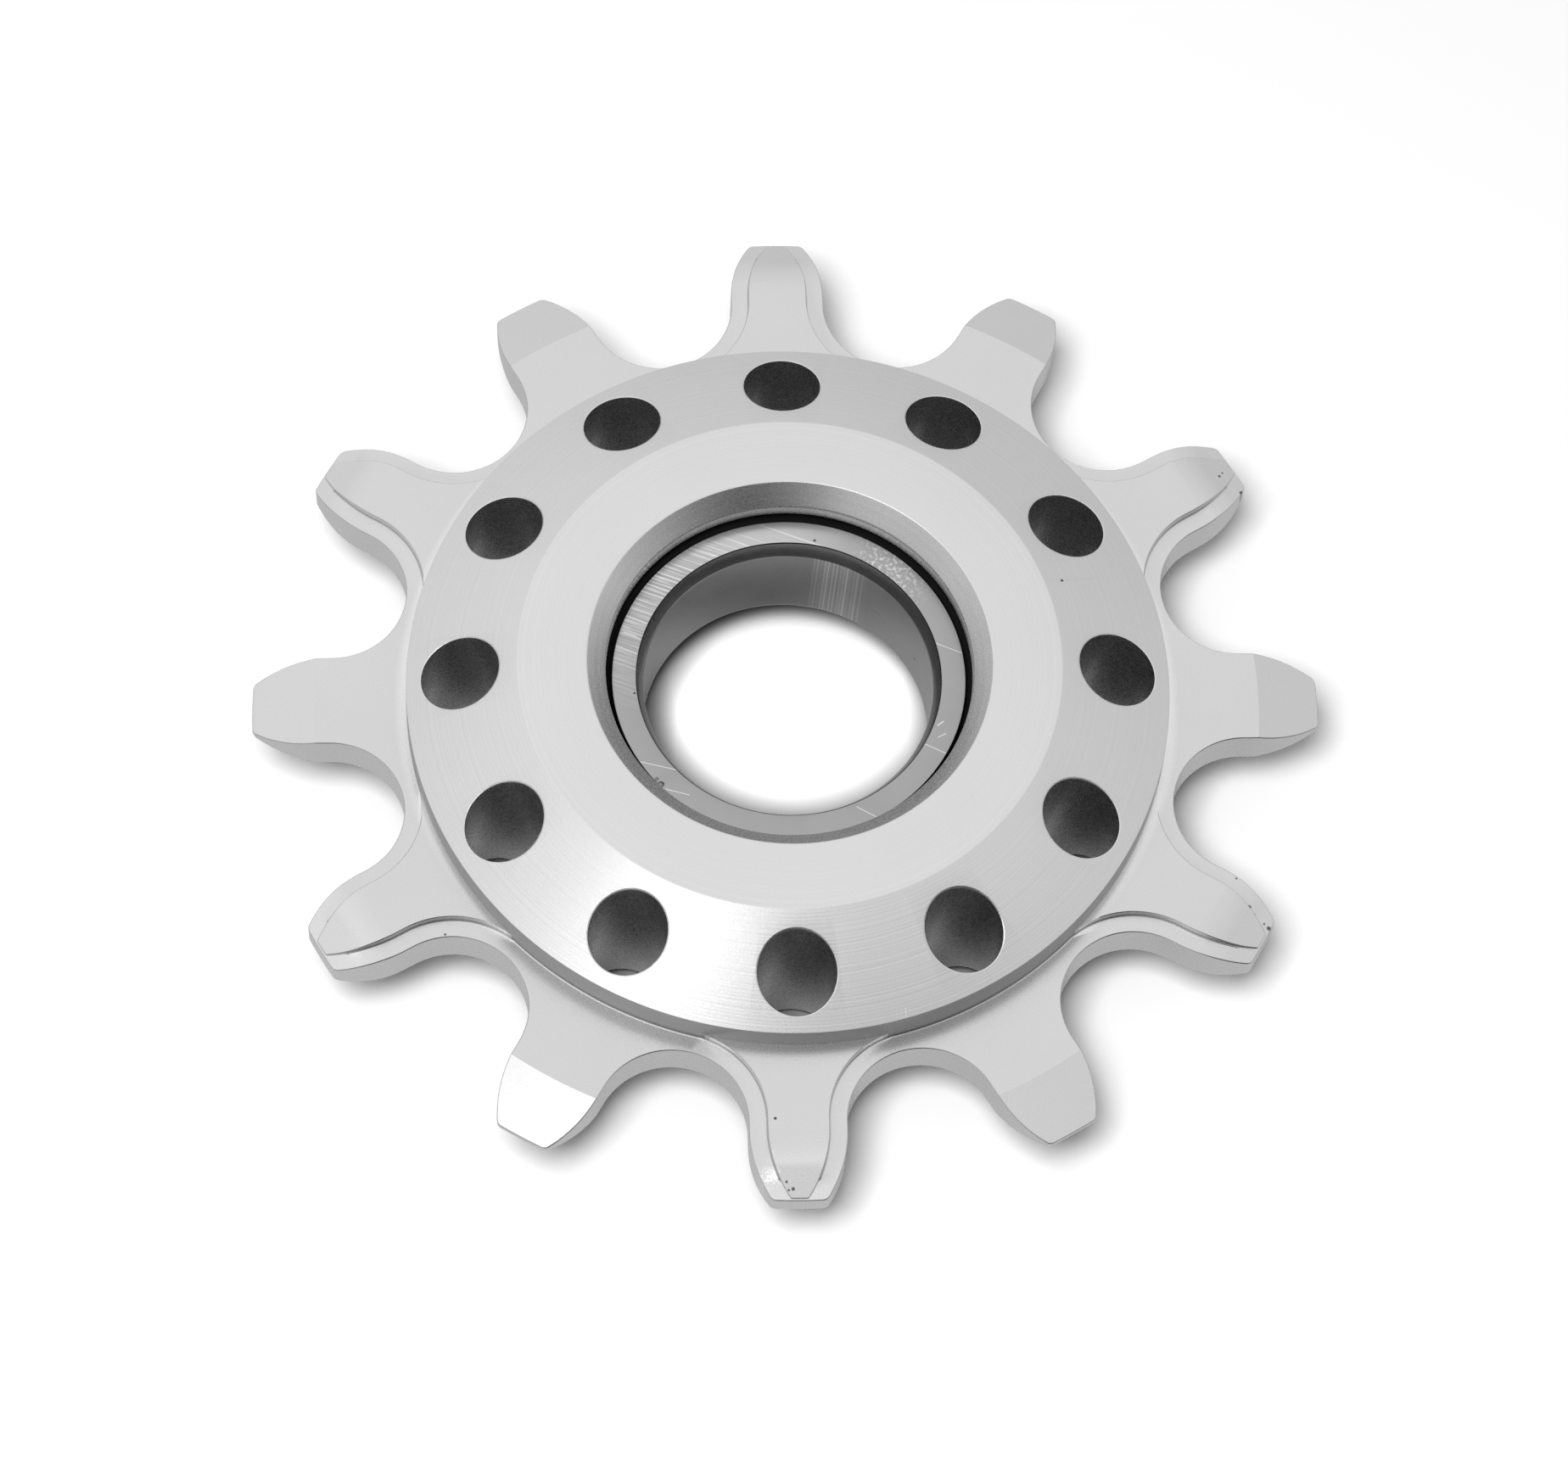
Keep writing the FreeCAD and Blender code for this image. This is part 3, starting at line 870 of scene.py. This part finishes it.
def add(tree, kind, feeds=(), output=0, **settings):
    """Adds a node and gives one of its outputs, or all of them if output is None.

    A kind such as "Math ADD" is a node and its operation. Feeds go in by the name or
    number of their socket, or in order if they are a list. Each is another node's output,
    a plain value, or a colour such as "#A0A0A0".
    """
    kind, _, operation = kind.partition(" ")
    made = tree.nodes.new("ShaderNode" + kind)
    if operation:
        made.operation = operation
    for name, value in settings.items():
        setattr(made, name, value)
    sockets = feeds if isinstance(feeds, dict) else dict(enumerate(feeds))
    for name, value in sockets.items():
        if isinstance(value, bpy.types.NodeSocket):
            tree.links.new(value, made.inputs[name])
        else:
            made.inputs[name].default_value = linear(value) if isinstance(value, str) else value
    return made.outputs if output is None else made.outputs[output]


def empty_tree(owner):
    """The node tree of a new material or world, cleared."""
    owner.use_nodes = True
    owner.node_tree.nodes.clear()
    return owner.node_tree


def wear(piece, material):
    piece.data.materials.clear()
    piece.data.materials.append(material)


print("white is", [round(c, 2) for c in linear("#FFFFFF")[:3]])

# %% [markdown]
# ## Marks of use
# A mark is a mask, a value that is 1 where the mark is and 0 elsewhere. A spot is the
# distance from its centre, and a scratch the distance from the nearest point of a line. A
# brush in texture paint would do as well, but it needs an image, and this needs only the
# place of each mark in millimetres.

# %% Masks
def from_axis(tree, place):
    """Distance from the axle in metres."""
    flat = add(tree, "VectorMath MULTIPLY", [place, (1, 1, 0)])
    return add(tree, "VectorMath LENGTH", [flat], "Value")


def closeness(tree, place, centre, near, far):
    """1 within near of a centre, and 0 past far; all in millimetres."""
    apart = add(tree, "VectorMath DISTANCE", [place, point(*centre)], "Value")
    return add(tree, "MapRange", [apart, near * MM, far * MM, 1, 0])


def scratch(tree, place, start, end, width):
    """1 along a straight line between two points, and 0 beside it."""
    run = point(*end) - point(*start)
    course = run.normalized()
    away = add(tree, "VectorMath SUBTRACT", [place, point(*start)])
    along = add(tree, "VectorMath DOT_PRODUCT", [away, course], "Value")
    held = add(tree, "Clamp", [along, 0, run.length])
    nearest = add(tree, "VectorMath SCALE", {0: course, "Scale": held})
    beside = add(tree, "VectorMath DISTANCE", [away, nearest], "Value")
    return add(tree, "MapRange", [beside, 0, width * MM / 2, 1, 0])


def strongest(tree, masks):
    """The greatest of several masks at each place."""
    together = masks[0]
    for mask in masks[1:]:
        together = add(tree, "Math MAXIMUM", [together, mask])
    return together


# %% [markdown]
# The pulley is aluminium with a clear anodised skin: pale, slightly milky, with no sharp
# reflections. A lathe tool leaves faint rings about 0.19 mm apart. Noise over the radius
# alone gives such rings, and it never repeats as a drawn wave would, so only the cone gets
# a wave as well, for the even grooves of the tool's feed. The real grooves are finer, and
# are drawn as coarse as the picture can show. The upright wall between hub and teeth is
# rougher and darker than the rest, and the chamfer of the lip was cut with a fine tool,
# whose grooves draw highlights out across them. Their faces get finishes of their own from
# the same function. The teeth carry a painted highlight at the foot of the flange.

# %% Anodised aluminium
PULLEY_SPECKS = HUB_PITS + TOOTH_PITS + [
    (-17.71, -13.35, 6.62, 0.06),
    (-0.33, -27.27, 6.37, 0.08), (-0.55, -27.33, 6.35, 0.05), (-0.66, -26.94, 6.5, 0.06),
    (23.34, 13.11, 6.56, 0.07), (23.52, 13.36, 6.47, 0.05), (24.5, 12.29, 6.19, 0.1),
    (24.39, -13.11, 6.11, 0.1), (24.16, -12.9, 6.31, 0.05), (21.72, -10.65, 7.1, 0.05),
    (22.82, -10.52, 6.62, 0.05), (23.42, -12.07, 6.73, 0.09),
]
PULLEY_SCRATCHES = [
    (5.43, -18.5, 5.49, -18.9, 8.6, 0.08), (-1.32, -25.45, -1.3, -25.65, 6.63, 0.12),
    (-1.1, -26.25, -1.0, -26.5, 6.49, 0.14), (22.9, -12.0, 24.0, -12.75, 6.5, 0.05),
]
WORN_LEDGE = (-1.6, -26.7, 6.4)
FEED_PITCH = 0.165


def flattened(x, y, height):
    """A place as the marks see it: height counts a tenth, so it needn't be exact."""
    return x, y, height / 10


def anodised_aluminium(name, rough, low, high, stretch=0.35, across=0):
    material = bpy.data.materials.new(name)
    tree = empty_tree(material)
    place = add(tree, "TexCoord", output="Object")
    radius = from_axis(tree, place)
    tangent = add(tree, "Tangent", direction_type="RADIAL", axis="Z")
    rings = add(
        tree, "TexNoise", {"W": radius, "Scale": 5.3 / MM, "Detail": 2}, noise_dimensions="1D",
    )
    grain = add(tree, "TexNoise", {"Vector": place, "Scale": 9 / MM, "Detail": 3})
    cloud = add(tree, "TexNoise", {"Vector": place, "Scale": 0.16 / MM, "Detail": 3})
    on_hub = add(tree, "MapRange", [
        radius, (FLANGE_RADIUS - 0.05) * MM, (FLANGE_RADIUS + 0.15) * MM, 1, 0.15,
    ])
    turned = add(tree, "Math MULTIPLY", [rings, on_hub])
    # Roughness: satin, so a lamp shows as a broad soft glow.
    rough = add(tree, "MapRange", [grain, 0.3, 0.7, rough - 0.03, rough + 0.03])
    # The skin is near white, a hair uneven, and greyer in the grooves.
    half_cloud = add(tree, "Math MULTIPLY", [cloud, 0.5])
    half_turned = add(tree, "Math MULTIPLY", [turned, 0.5])
    uneven = add(tree, "Math ADD", [half_cloud, half_turned])
    # The flat face of the hub is a little paler than the cone.
    face_inside, face_outside = (HUB_FACE_RADIUS - 0.04) * MM, (HUB_FACE_RADIUS + 0.04) * MM
    on_face = add(tree, "MapRange", [radius, face_inside, face_outside, 0.13, 0])
    # Painted highlight: the teeth are brightest at the foot of the flange.
    near_foot = add(tree, "MapRange", [
        radius, (FLANGE_RADIUS + 0.2) * MM, (FLANGE_RADIUS + 0.7) * MM, 0.55, 0,
    ])
    past_wall = add(tree, "Math GREATER_THAN", [radius, (FLANGE_RADIUS + 0.03) * MM])
    painted_foot_highlight = add(tree, "Math MULTIPLY", [near_foot, past_wall])
    # Marks: fresh metal in scratches and on the worn ledge, grime in the pits.
    flat = add(tree, "VectorMath MULTIPLY", [place, (1, 1, 0.1)])
    fresh = [
        scratch(tree, flat, flattened(x1, y1, z), flattened(x2, y2, z), width)
        for x1, y1, x2, y2, z, width in PULLEY_SCRATCHES
    ]
    patchy = add(tree, "MapRange", [grain, 0.5, 0.56, 0, 1])
    on_ledge = closeness(tree, flat, flattened(*WORN_LEDGE), 0.2, 0.7)
    fresh.append(add(tree, "Math MULTIPLY", [patchy, on_ledge]))
    dark_marks = strongest(tree, [
        closeness(tree, flat, flattened(x, y, z), size * 0.8, size * 1.4)
        for x, y, z, size in PULLEY_SPECKS
    ])
    # Each colour is laid over those before it, where its mask is 1, as a coat of paint.
    colour = low
    for mask, coat in (
        (uneven, high), (on_face, "#FFFFFF"), (painted_foot_highlight, "#FFFFFF"),
        (strongest(tree, fresh), "#FAFAFA"), (dark_marks, "#6A6A6A"),
    ):
        colour = add(tree, "Mix", {0: mask, 6: colour, 7: coat}, 2, data_type="RGBA")
    # Bump: rings about a micrometre high, finer grain, and the feed's grooves on the cone.
    feed_angle = add(tree, "Math MULTIPLY", [radius, math.tau / (FEED_PITCH * MM)])
    feed_marks = add(tree, "Math SINE", [feed_angle])
    past_face = add(tree, "MapRange", [radius, face_inside, face_outside, 0, 0.1])
    on_cone = add(tree, "Math MULTIPLY", [on_hub, past_face])
    grooves = add(tree, "Math MULTIPLY", [feed_marks, on_cone])
    height = add(tree, "Math MULTIPLY_ADD", [grain, 0.1, turned])
    height = add(tree, "Math ADD", [height, grooves])
    bump = add(tree, "Bump", {"Height": height, "Distance": 0.004 * MM})
    surface = add(tree, "BsdfPrincipled", {
        "Metallic": 1, "Base Color": colour, "Roughness": rough, "Normal": bump,
        "Anisotropic": stretch, "Anisotropic Rotation": across, "Tangent": tangent,
    })
    add(tree, "OutputMaterial", [surface], None)
    return material


print("marks on the pulley:", len(PULLEY_SPECKS) + len(PULLEY_SCRATCHES))

# %% [markdown]
# A piece may have several materials, each in a slot, and every face says which slot it
# takes. The faces of the wall and of the lip's chamfer are picked by where they are.

# %% Aluminium on the pulley
def wear_where(piece, material, wanted):
    """Gives a further material to the faces for which wanted is true."""
    edit(piece)
    count = pick("FACE", wanted)
    bpy.ops.object.material_slot_add()
    piece.active_material = material
    bpy.ops.object.material_slot_assign()
    leave_edit()
    return count


def flange_wall(face):
    out = radius_of(face.calc_center_median())
    return abs(face.normal.z) < 0.3 and abs(out - FLANGE_RADIUS) < 0.1


def lip_face(face):
    middle = face.calc_center_median()
    inside = radius_of(middle) < LIP_RADIUS + LIP_CHAMFER
    return inside and middle.z / MM > BEARING_FRONT + LIP_RELIEF + 0.01


wear(pulley, anodised_aluminium("anodised_aluminium", 0.28, "#DBDBDB", "#E7E7E7"))
# The upright wall is rougher and darker than the rest.
upright_wall = anodised_aluminium("side_milled_aluminium", 0.42, "#939393", "#9D9D9D")
print("flange wall faces:", wear_where(pulley, upright_wall, flange_wall))
fine_turned = anodised_aluminium("fine_turned_aluminium", 0.27, "#DBDBDB", "#E7E7E7", 0.9, 0.25)
print("lip faces:", wear_where(pulley, fine_turned, lip_face))

# %% [markdown]
# Bearing steel is darker than aluminium, and ground, so it is smooth with a soft sheen.
# Use has marked the inner ring. A stone left strokes at the upper left of its face, things
# slid over it and left flecks and single scratches, and an axle was pressed through the
# bore and left streaks. Grime sits in the pits, and a line of painted shade runs along the
# edge of the bore. A noise that is squeezed one way and drawn out the other gives the
# strokes, 4 mm long and 0.12 mm wide.

# %% Ground steel
RING_SCRATCHES = [
    (-1.25, 8.93, 3.28, 7.1, 0.17), (-7.71, -4.81, -5.76, -5.31, 0.07),
    (-8.5, 2.67, -7.85, 2.42, 0.08), (-8.95, 1.93, -7.86, 1.43, 0.07),
    (7.54, 1.99, 9.27, 1.24, 0.06), (6.9, -3.89, 7.97, -4.43, 0.07),
    (3.3, -7.44, 4.37, -8.07, 0.07), (-6.43, -6.37, -5.26, -6.71, 0.07),
    (7.59, -2.83, 7.9, -2.6, 0.1), (7.6, -3.5, 8.0, -3.3, 0.08),
]
STROKE_SLOPE = math.radians(22)
RING_FACE = round(BEARING_FRONT, 2)


def ground_steel():
    material = bpy.data.materials.new("ground_steel")
    tree = empty_tree(material)
    place = add(tree, "TexCoord", output="Object")
    tangent = add(tree, "Tangent", direction_type="RADIAL", axis="Z")
    radius = from_axis(tree, place)
    axes = add(tree, "SeparateXYZ", [place], None)
    grain = add(tree, "TexNoise", {"Vector": place, "Scale": 5 / MM, "Detail": 3})
    cloud = add(tree, "TexNoise", {"Vector": place, "Scale": 0.5 / MM, "Detail": 4})
    rough = add(tree, "MapRange", [cloud, 0.3, 0.7, 0.26, 0.31])
    # Strokes, all one way and thickest at the upper left, on metal that is rubbed bright.
    turned = add(tree, "VectorRotate", {0: place, "Angle": STROKE_SLOPE}, rotation_type="Z_AXIS")
    drawn_out = add(tree, "VectorMath MULTIPLY", [turned, (0.26 / MM, 8.2 / MM, 0)])
    strokes = add(tree, "TexNoise", {"Vector": drawn_out, "Scale": 1, "Detail": 2})
    strokes = add(tree, "MapRange", [strokes, 0.42, 0.7, 0, 1])
    upper_left = closeness(tree, place, (-5.4, 6.4, RING_FACE), 2.5, 9)
    strokes = add(tree, "Math MULTIPLY", [strokes, upper_left])
    polished = closeness(tree, place, (-1.5, 8.3, RING_FACE), 1.5, 6)
    polished = add(tree, "Math MULTIPLY", [polished, 0.4])
    # Flecks at the upper right, and single scratches.
    flecks = add(tree, "MapRange", [grain, 0.5, 0.66, 0, 0.8])
    upper_right = closeness(tree, place, (5.3, 6.2, RING_FACE), 0.5, 2.8)
    flecks = add(tree, "Math MULTIPLY", [flecks, upper_right])
    scratches = [
        scratch(tree, place, (x1, y1, RING_FACE), (x2, y2, RING_FACE), width)
        for x1, y1, x2, y2, width in RING_SCRATCHES
    ]
    on_front = add(tree, "Math GREATER_THAN", [axes["Z"], (RING_FACE - 0.05) * MM])
    bright = strongest(tree, scratches + [strokes, polished, flecks])
    bright = add(tree, "Math MULTIPLY", [bright, on_front])
    # Streaks down the bore, between two angles about the axle, a little slanted.
    angle = add(tree, "Math ARCTAN2", [axes["Y"], axes["X"]])
    slanted = add(tree, "Math MULTIPLY_ADD", [axes["Z"], 4, angle])
    streaks = add(
        tree, "TexNoise", {"W": slanted, "Scale": 50, "Detail": 2}, noise_dimensions="1D",
    )
    streaks = add(tree, "MapRange", [streaks, 0.48, 0.66, 0.2, 1])
    begin = add(tree, "MapRange", [angle, 0.95, 1.12, 0, 1])
    end = add(tree, "MapRange", [angle, 1.28, 1.4, 1, 0])
    pressed = add(tree, "Math MULTIPLY", [begin, end])
    streaks = add(tree, "Math MULTIPLY", [streaks, pressed])
    in_bore = add(tree, "Math LESS_THAN", [radius, (BORE_RADIUS + 0.03) * MM])
    bright = add(tree, "Math MULTIPLY_ADD", [streaks, in_bore, bright])
    # Grime in the pits, and a line of painted shade along the edge of the bore.
    edge_radius = (BORE_RADIUS + BORE_CHAMFER_WIDTH - 0.01) * MM
    painted_bore_edge_shade = add(tree, "Math COMPARE", [radius, edge_radius, 0.04 * MM])
    dark_marks = [
        closeness(tree, place, (x, y, z), size * 0.8, size * 1.3) for x, y, z, size in RING_PITS
    ]
    dark_marks.append(add(tree, "Math MULTIPLY", [painted_bore_edge_shade, on_front]))
    colour = "#A9A9A9"
    for mask, coat in (
        (cloud, "#B4B4B4"), (bright, "#F4F4F4"), (strongest(tree, dark_marks), "#3C3C3C"),
    ):
        colour = add(tree, "Mix", {0: mask, 6: colour, 7: coat}, 2, data_type="RGBA")
    bump = add(tree, "Bump", {"Height": grain, "Distance": 0.001 * MM})
    surface = add(tree, "BsdfPrincipled", {
        "Metallic": 1, "Base Color": colour, "Roughness": rough, "Normal": bump,
        "Anisotropic": 0.3, "Tangent": tangent,
    })
    add(tree, "OutputMaterial", [surface], None)
    return material


steel = ground_steel()
wear(ring_inside, steel)
wear(ring_outside, steel)
print("scratches on the ring:", len(RING_SCRATCHES))

# %% [markdown]
# The parts behind the front face are plainer. The retaining ring is oiled spring steel,
# dark and satin. The seals are moulded rubber, a matt black that shows only as a dark gap.
# The balls are polished like a mirror, and the cage is natural nylon, cream and waxy.

# %% Spring steel, rubber, polished steel and nylon
def plain_finish(name, low, high, to_a_mm, rough, height, metallic=0, specular=0.5):
    """A finish whose colour and roughness vary a little with one noise."""
    material = bpy.data.materials.new(name)
    tree = empty_tree(material)
    place = add(tree, "TexCoord", output="Object")
    cloud = add(tree, "TexNoise", {"Vector": place, "Scale": to_a_mm / MM, "Detail": 4})
    surface = add(tree, "BsdfPrincipled", {
        "Metallic": metallic,
        "Specular IOR Level": specular,
        "Base Color": add(tree, "Mix", {0: cloud, 6: low, 7: high}, 2, data_type="RGBA"),
        "Roughness": add(tree, "MapRange", [cloud, 0.3, 0.7, rough - 0.04, rough + 0.06]),
        "Normal": add(tree, "Bump", {"Height": cloud, "Distance": height * MM}),
    })
    add(tree, "OutputMaterial", [surface], None)
    return material


wear(clip, plain_finish("spring_steel", "#4A4A4C", "#5E5E60", 0.9, 0.34, 0.002, metallic=1))
rubber = plain_finish("seal_rubber", "#060606", "#0B0B0B", 2.5, 0.7, 0.003, specular=0.1)
wear(seal_front, rubber)
wear(seal_rear, rubber)
balls = plain_finish("polished_steel", "#C6C6C7", "#CFCFD0", 0.3, 0.08, 0.0001, metallic=1)
nylon = plain_finish("cage_nylon", "#D8D2C2", "#E2DDD0", 1.2, 0.45, 0.004)
for name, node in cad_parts.items():
    if name.startswith("ball_"):
        wear(node, nylon if name == "ball_cage" else balls)
print("materials:", len(bpy.data.materials))

# %% [markdown]
# ## Floor and light
# The photograph was taken on a white sweep that burns out to pure white, with a soft shadow
# to the right of and below each tooth. The key lamp makes the sheet overexposed wherever it
# falls, so its real shadows show, beside the shade painted under the hub and in the bore.
#
# Is Camera Ray lets the sheet look one way to the camera and another to the metal. The
# holes look dark to the bottom in the photograph, so to the camera the sheet under the hub
# is painted grey as shade, and through the bore it is white with a grey rim of painted
# shadow. The metal mirrors a middling paper, or the teeth would be lit too strongly from
# below. Under the hub it mirrors a darker paper of painted shade, darkest in a patch of
# painted shadow that the bore wall mirrors. Looked at from below, the sheet lets the camera
# through, so the back of the pulley can be seen.

# %% White floor
SHEET_WIDTH = 2000
HUB_SHADE_CENTRE, HUB_SHADE_RADIUS = 0.75, 19.05
BORE_VIEW_RADIUS = 11.5


def white_floor():
    nothing_selected()
    bpy.ops.mesh.primitive_plane_add(size=SHEET_WIDTH * MM, location=(0, 0, 0))
    floor = bpy.context.object
    floor.name = "floor"
    material = bpy.data.materials.new("white_sweep_with_painted_shade")
    tree = empty_tree(material)
    place = add(tree, "TexCoord", output="Object")
    shade_centre = point(0, HUB_SHADE_CENTRE, 0)
    from_shade = add(tree, "VectorMath SUBTRACT", [place, shade_centre])
    out = from_axis(tree, from_shade)
    past_hub = add(tree, "Math GREATER_THAN", [out, HUB_SHADE_RADIUS * MM])
    # What the metal mirrors: middling paper, and under the hub painted shade, darkest in a patch
    # of painted shadow.
    painted_shadow_patch = closeness(tree, place, (-0.4, 5, 0), 0.8, 4)
    painted_shade_under_hub = add(tree, "Mix", {0: painted_shadow_patch, 6: "#767676", 7: "#505050"}, 2, data_type="RGBA")
    for_metal = add(tree, "Mix", {0: past_hub, 6: painted_shade_under_hub, 7: "#828282"}, 2, data_type="RGBA")
    # What the camera sees: white where two discs overlap in the bore, painted shadow in grey
    # round them, and painted shade under the hub.
    far_disc = closeness(tree, place, (0.5, 0.4, 0), 6.2, 8.7)
    near_disc = closeness(tree, place, (0.3, 4.9, 0), 6.2, 9)
    white = add(tree, "Math MULTIPLY", [far_disc, near_disc])
    in_bore = add(tree, "Mix", {0: white, 6: "#505050", 7: "#DADADA"}, 2, data_type="RGBA")
    beside = add(tree, "Mix", {0: past_hub, 6: "#6A6A6A", 7: "#AAAAAA"}, 2, data_type="RGBA")
    out = from_axis(tree, place)
    bore_view = add(tree, "Math LESS_THAN", [out, BORE_VIEW_RADIUS * MM])
    for_camera = add(tree, "Mix", {0: bore_view, 6: beside, 7: in_bore}, 2, data_type="RGBA")
    is_camera = add(tree, "LightPath", output="Is Camera Ray")
    colour = add(tree, "Mix", {0: is_camera, 6: for_metal, 7: for_camera}, 2, data_type="RGBA")
    front = add(tree, "BsdfDiffuse", {"Color": colour})
    clear = add(tree, "BsdfTransparent")
    from_below = add(tree, "NewGeometry", output="Backfacing")
    both = add(tree, "MixShader", [from_below, front, clear])
    add(tree, "OutputMaterial", [both], None)
    wear(floor, material)
    return floor


print("floor:", white_floor().name)

# %% [markdown]
# The room is a pale dome that grows dimmer towards the horizon, to the right and behind the
# camera. Turned metal shows little but what it reflects, so this dome does most of the
# work: its dim side makes the near wall of the flange dark, and its darkest spot, low
# behind the camera, is mirrored in the chamfer of the lip. The camera itself sees white.

# %% Room
TOWARDS_DARKEST = (0.339, -0.929, 0.144)


def room():
    world = bpy.data.worlds.new("studio")
    bpy.context.scene.world = world
    tree = empty_tree(world)
    way = add(tree, "TexCoord", output="Generated")
    axes = add(tree, "SeparateXYZ", [way], None)
    up = add(tree, "MapRange", [axes["Z"], 0, 0.9, 0.7, 1])
    # High up the dome dims evenly towards the back, and low down round its darkest spot.
    high_back = add(tree, "MapRange", [axes["Y"], -0.88, -0.15, 0.22, 1])
    low_way = add(tree, "VectorMath MULTIPLY", [way, (1, 1, 0.3)])
    low_way = add(tree, "VectorMath NORMALIZE", [low_way])
    toward = add(tree, "VectorMath DOT_PRODUCT", [low_way, TOWARDS_DARKEST], "Value")
    away = add(tree, "Math MULTIPLY_ADD", [toward, -1.5, 1.51])
    away = add(tree, "Math POWER", [away, 0.7])
    low_back = add(tree, "MapRange", [axes["Y"], -0.88, -0.15, 0.5, 1])
    low_back = add(tree, "Math MINIMUM", [away, low_back])
    low = add(tree, "MapRange", [axes["Z"], 0.75, 0.55, 0, 1])
    back = add(tree, "Mix", {0: low, 2: high_back, 3: low_back})
    # Both sides are a little dimmer than the middle, the right one over a wider sweep.
    right = add(tree, "MapRange", [axes["X"], -0.5, 0.6, 1, 0.82])
    left = add(tree, "MapRange", [axes["X"], -0.9, -0.6, 0.8, 1])
    aside = add(tree, "Math MINIMUM", [right, left])
    strength = add(tree, "Math MULTIPLY", [up, back])
    strength = add(tree, "Math MULTIPLY", [strength, aside])
    dome = add(tree, "Background", {"Color": "#FFFFFF", "Strength": strength})
    white = add(tree, "Background", {"Color": "#FFFFFF", "Strength": 1})
    is_camera = add(tree, "LightPath", output="Is Camera Ray")
    mixed = add(tree, "MixShader", [is_camera, dome, white])
    add(tree, "OutputWorld", [mixed], None)
    return world


print("world:", room().name)

# %% [markdown]
# Two softboxes hang close together, a little to the left, so shadows fall to the right. The
# strong one lights the sheet. Its mirror image would burn out the metal, so it is hidden
# from glossy rays. The weak one is there for that image alone, the bright patch at the
# lower left of the cone.

# %% Softboxes
def softbox(name, place, width, watts):
    """A square lamp that points at the middle of the floor."""
    nothing_selected()
    bpy.ops.object.light_add(type="AREA", location=place)
    lamp = bpy.context.object
    lamp.name = name
    lamp.data.size = width * MM
    lamp.data.energy = watts
    lamp.rotation_euler = place.to_track_quat("Z", "Y").to_euler()
    return lamp


softbox("near_lamp", point(-116, -130, 380), 155, 0.085)
key = softbox("key_light", point(-67, -134, 392), 150, 3.9)
key.visible_glossy = False

# %% [markdown]
# ## Camera
# The ellipses of the hub and of the twelve holes fix where the camera stood: 28 cm away,
# looking down at 63.5 degrees, and turned 4 degrees clockwise.

# %% Camera
ELEVATION, AROUND, ROLL = 63.549, 5.156, -4.292
ASIDE, ABOVE, DISTANCE = 0.321, 3.639, 280.624
LENS, SENSOR = 125.586, 36
NEAREST = 10


def camera():
    turn_up = Matrix.Rotation(math.radians(ELEVATION - 90), 4, "X")
    swing = Matrix.Rotation(math.radians(AROUND), 4, "Z")
    roll = Matrix.Rotation(math.radians(ROLL), 4, "Z")
    to_camera = roll @ turn_up @ swing
    to_world = to_camera.transposed()
    offset = to_world @ point(ASIDE, ABOVE, -DISTANCE)
    data = bpy.data.cameras.new("camera")
    data.sensor_width = SENSOR
    data.lens = LENS
    data.clip_start = NEAREST * MM
    view = bpy.data.objects.new("camera", data)
    bpy.context.collection.objects.link(view)
    view.matrix_world = Matrix.Translation(point(0, 0, FRONT_FACE) - offset) @ to_world
    bpy.context.scene.camera = view


camera()
bpy.context.scene.view_settings.view_transform = "Standard"
print("camera at", [round(c, 3) for c in bpy.context.scene.camera.matrix_world.translation])
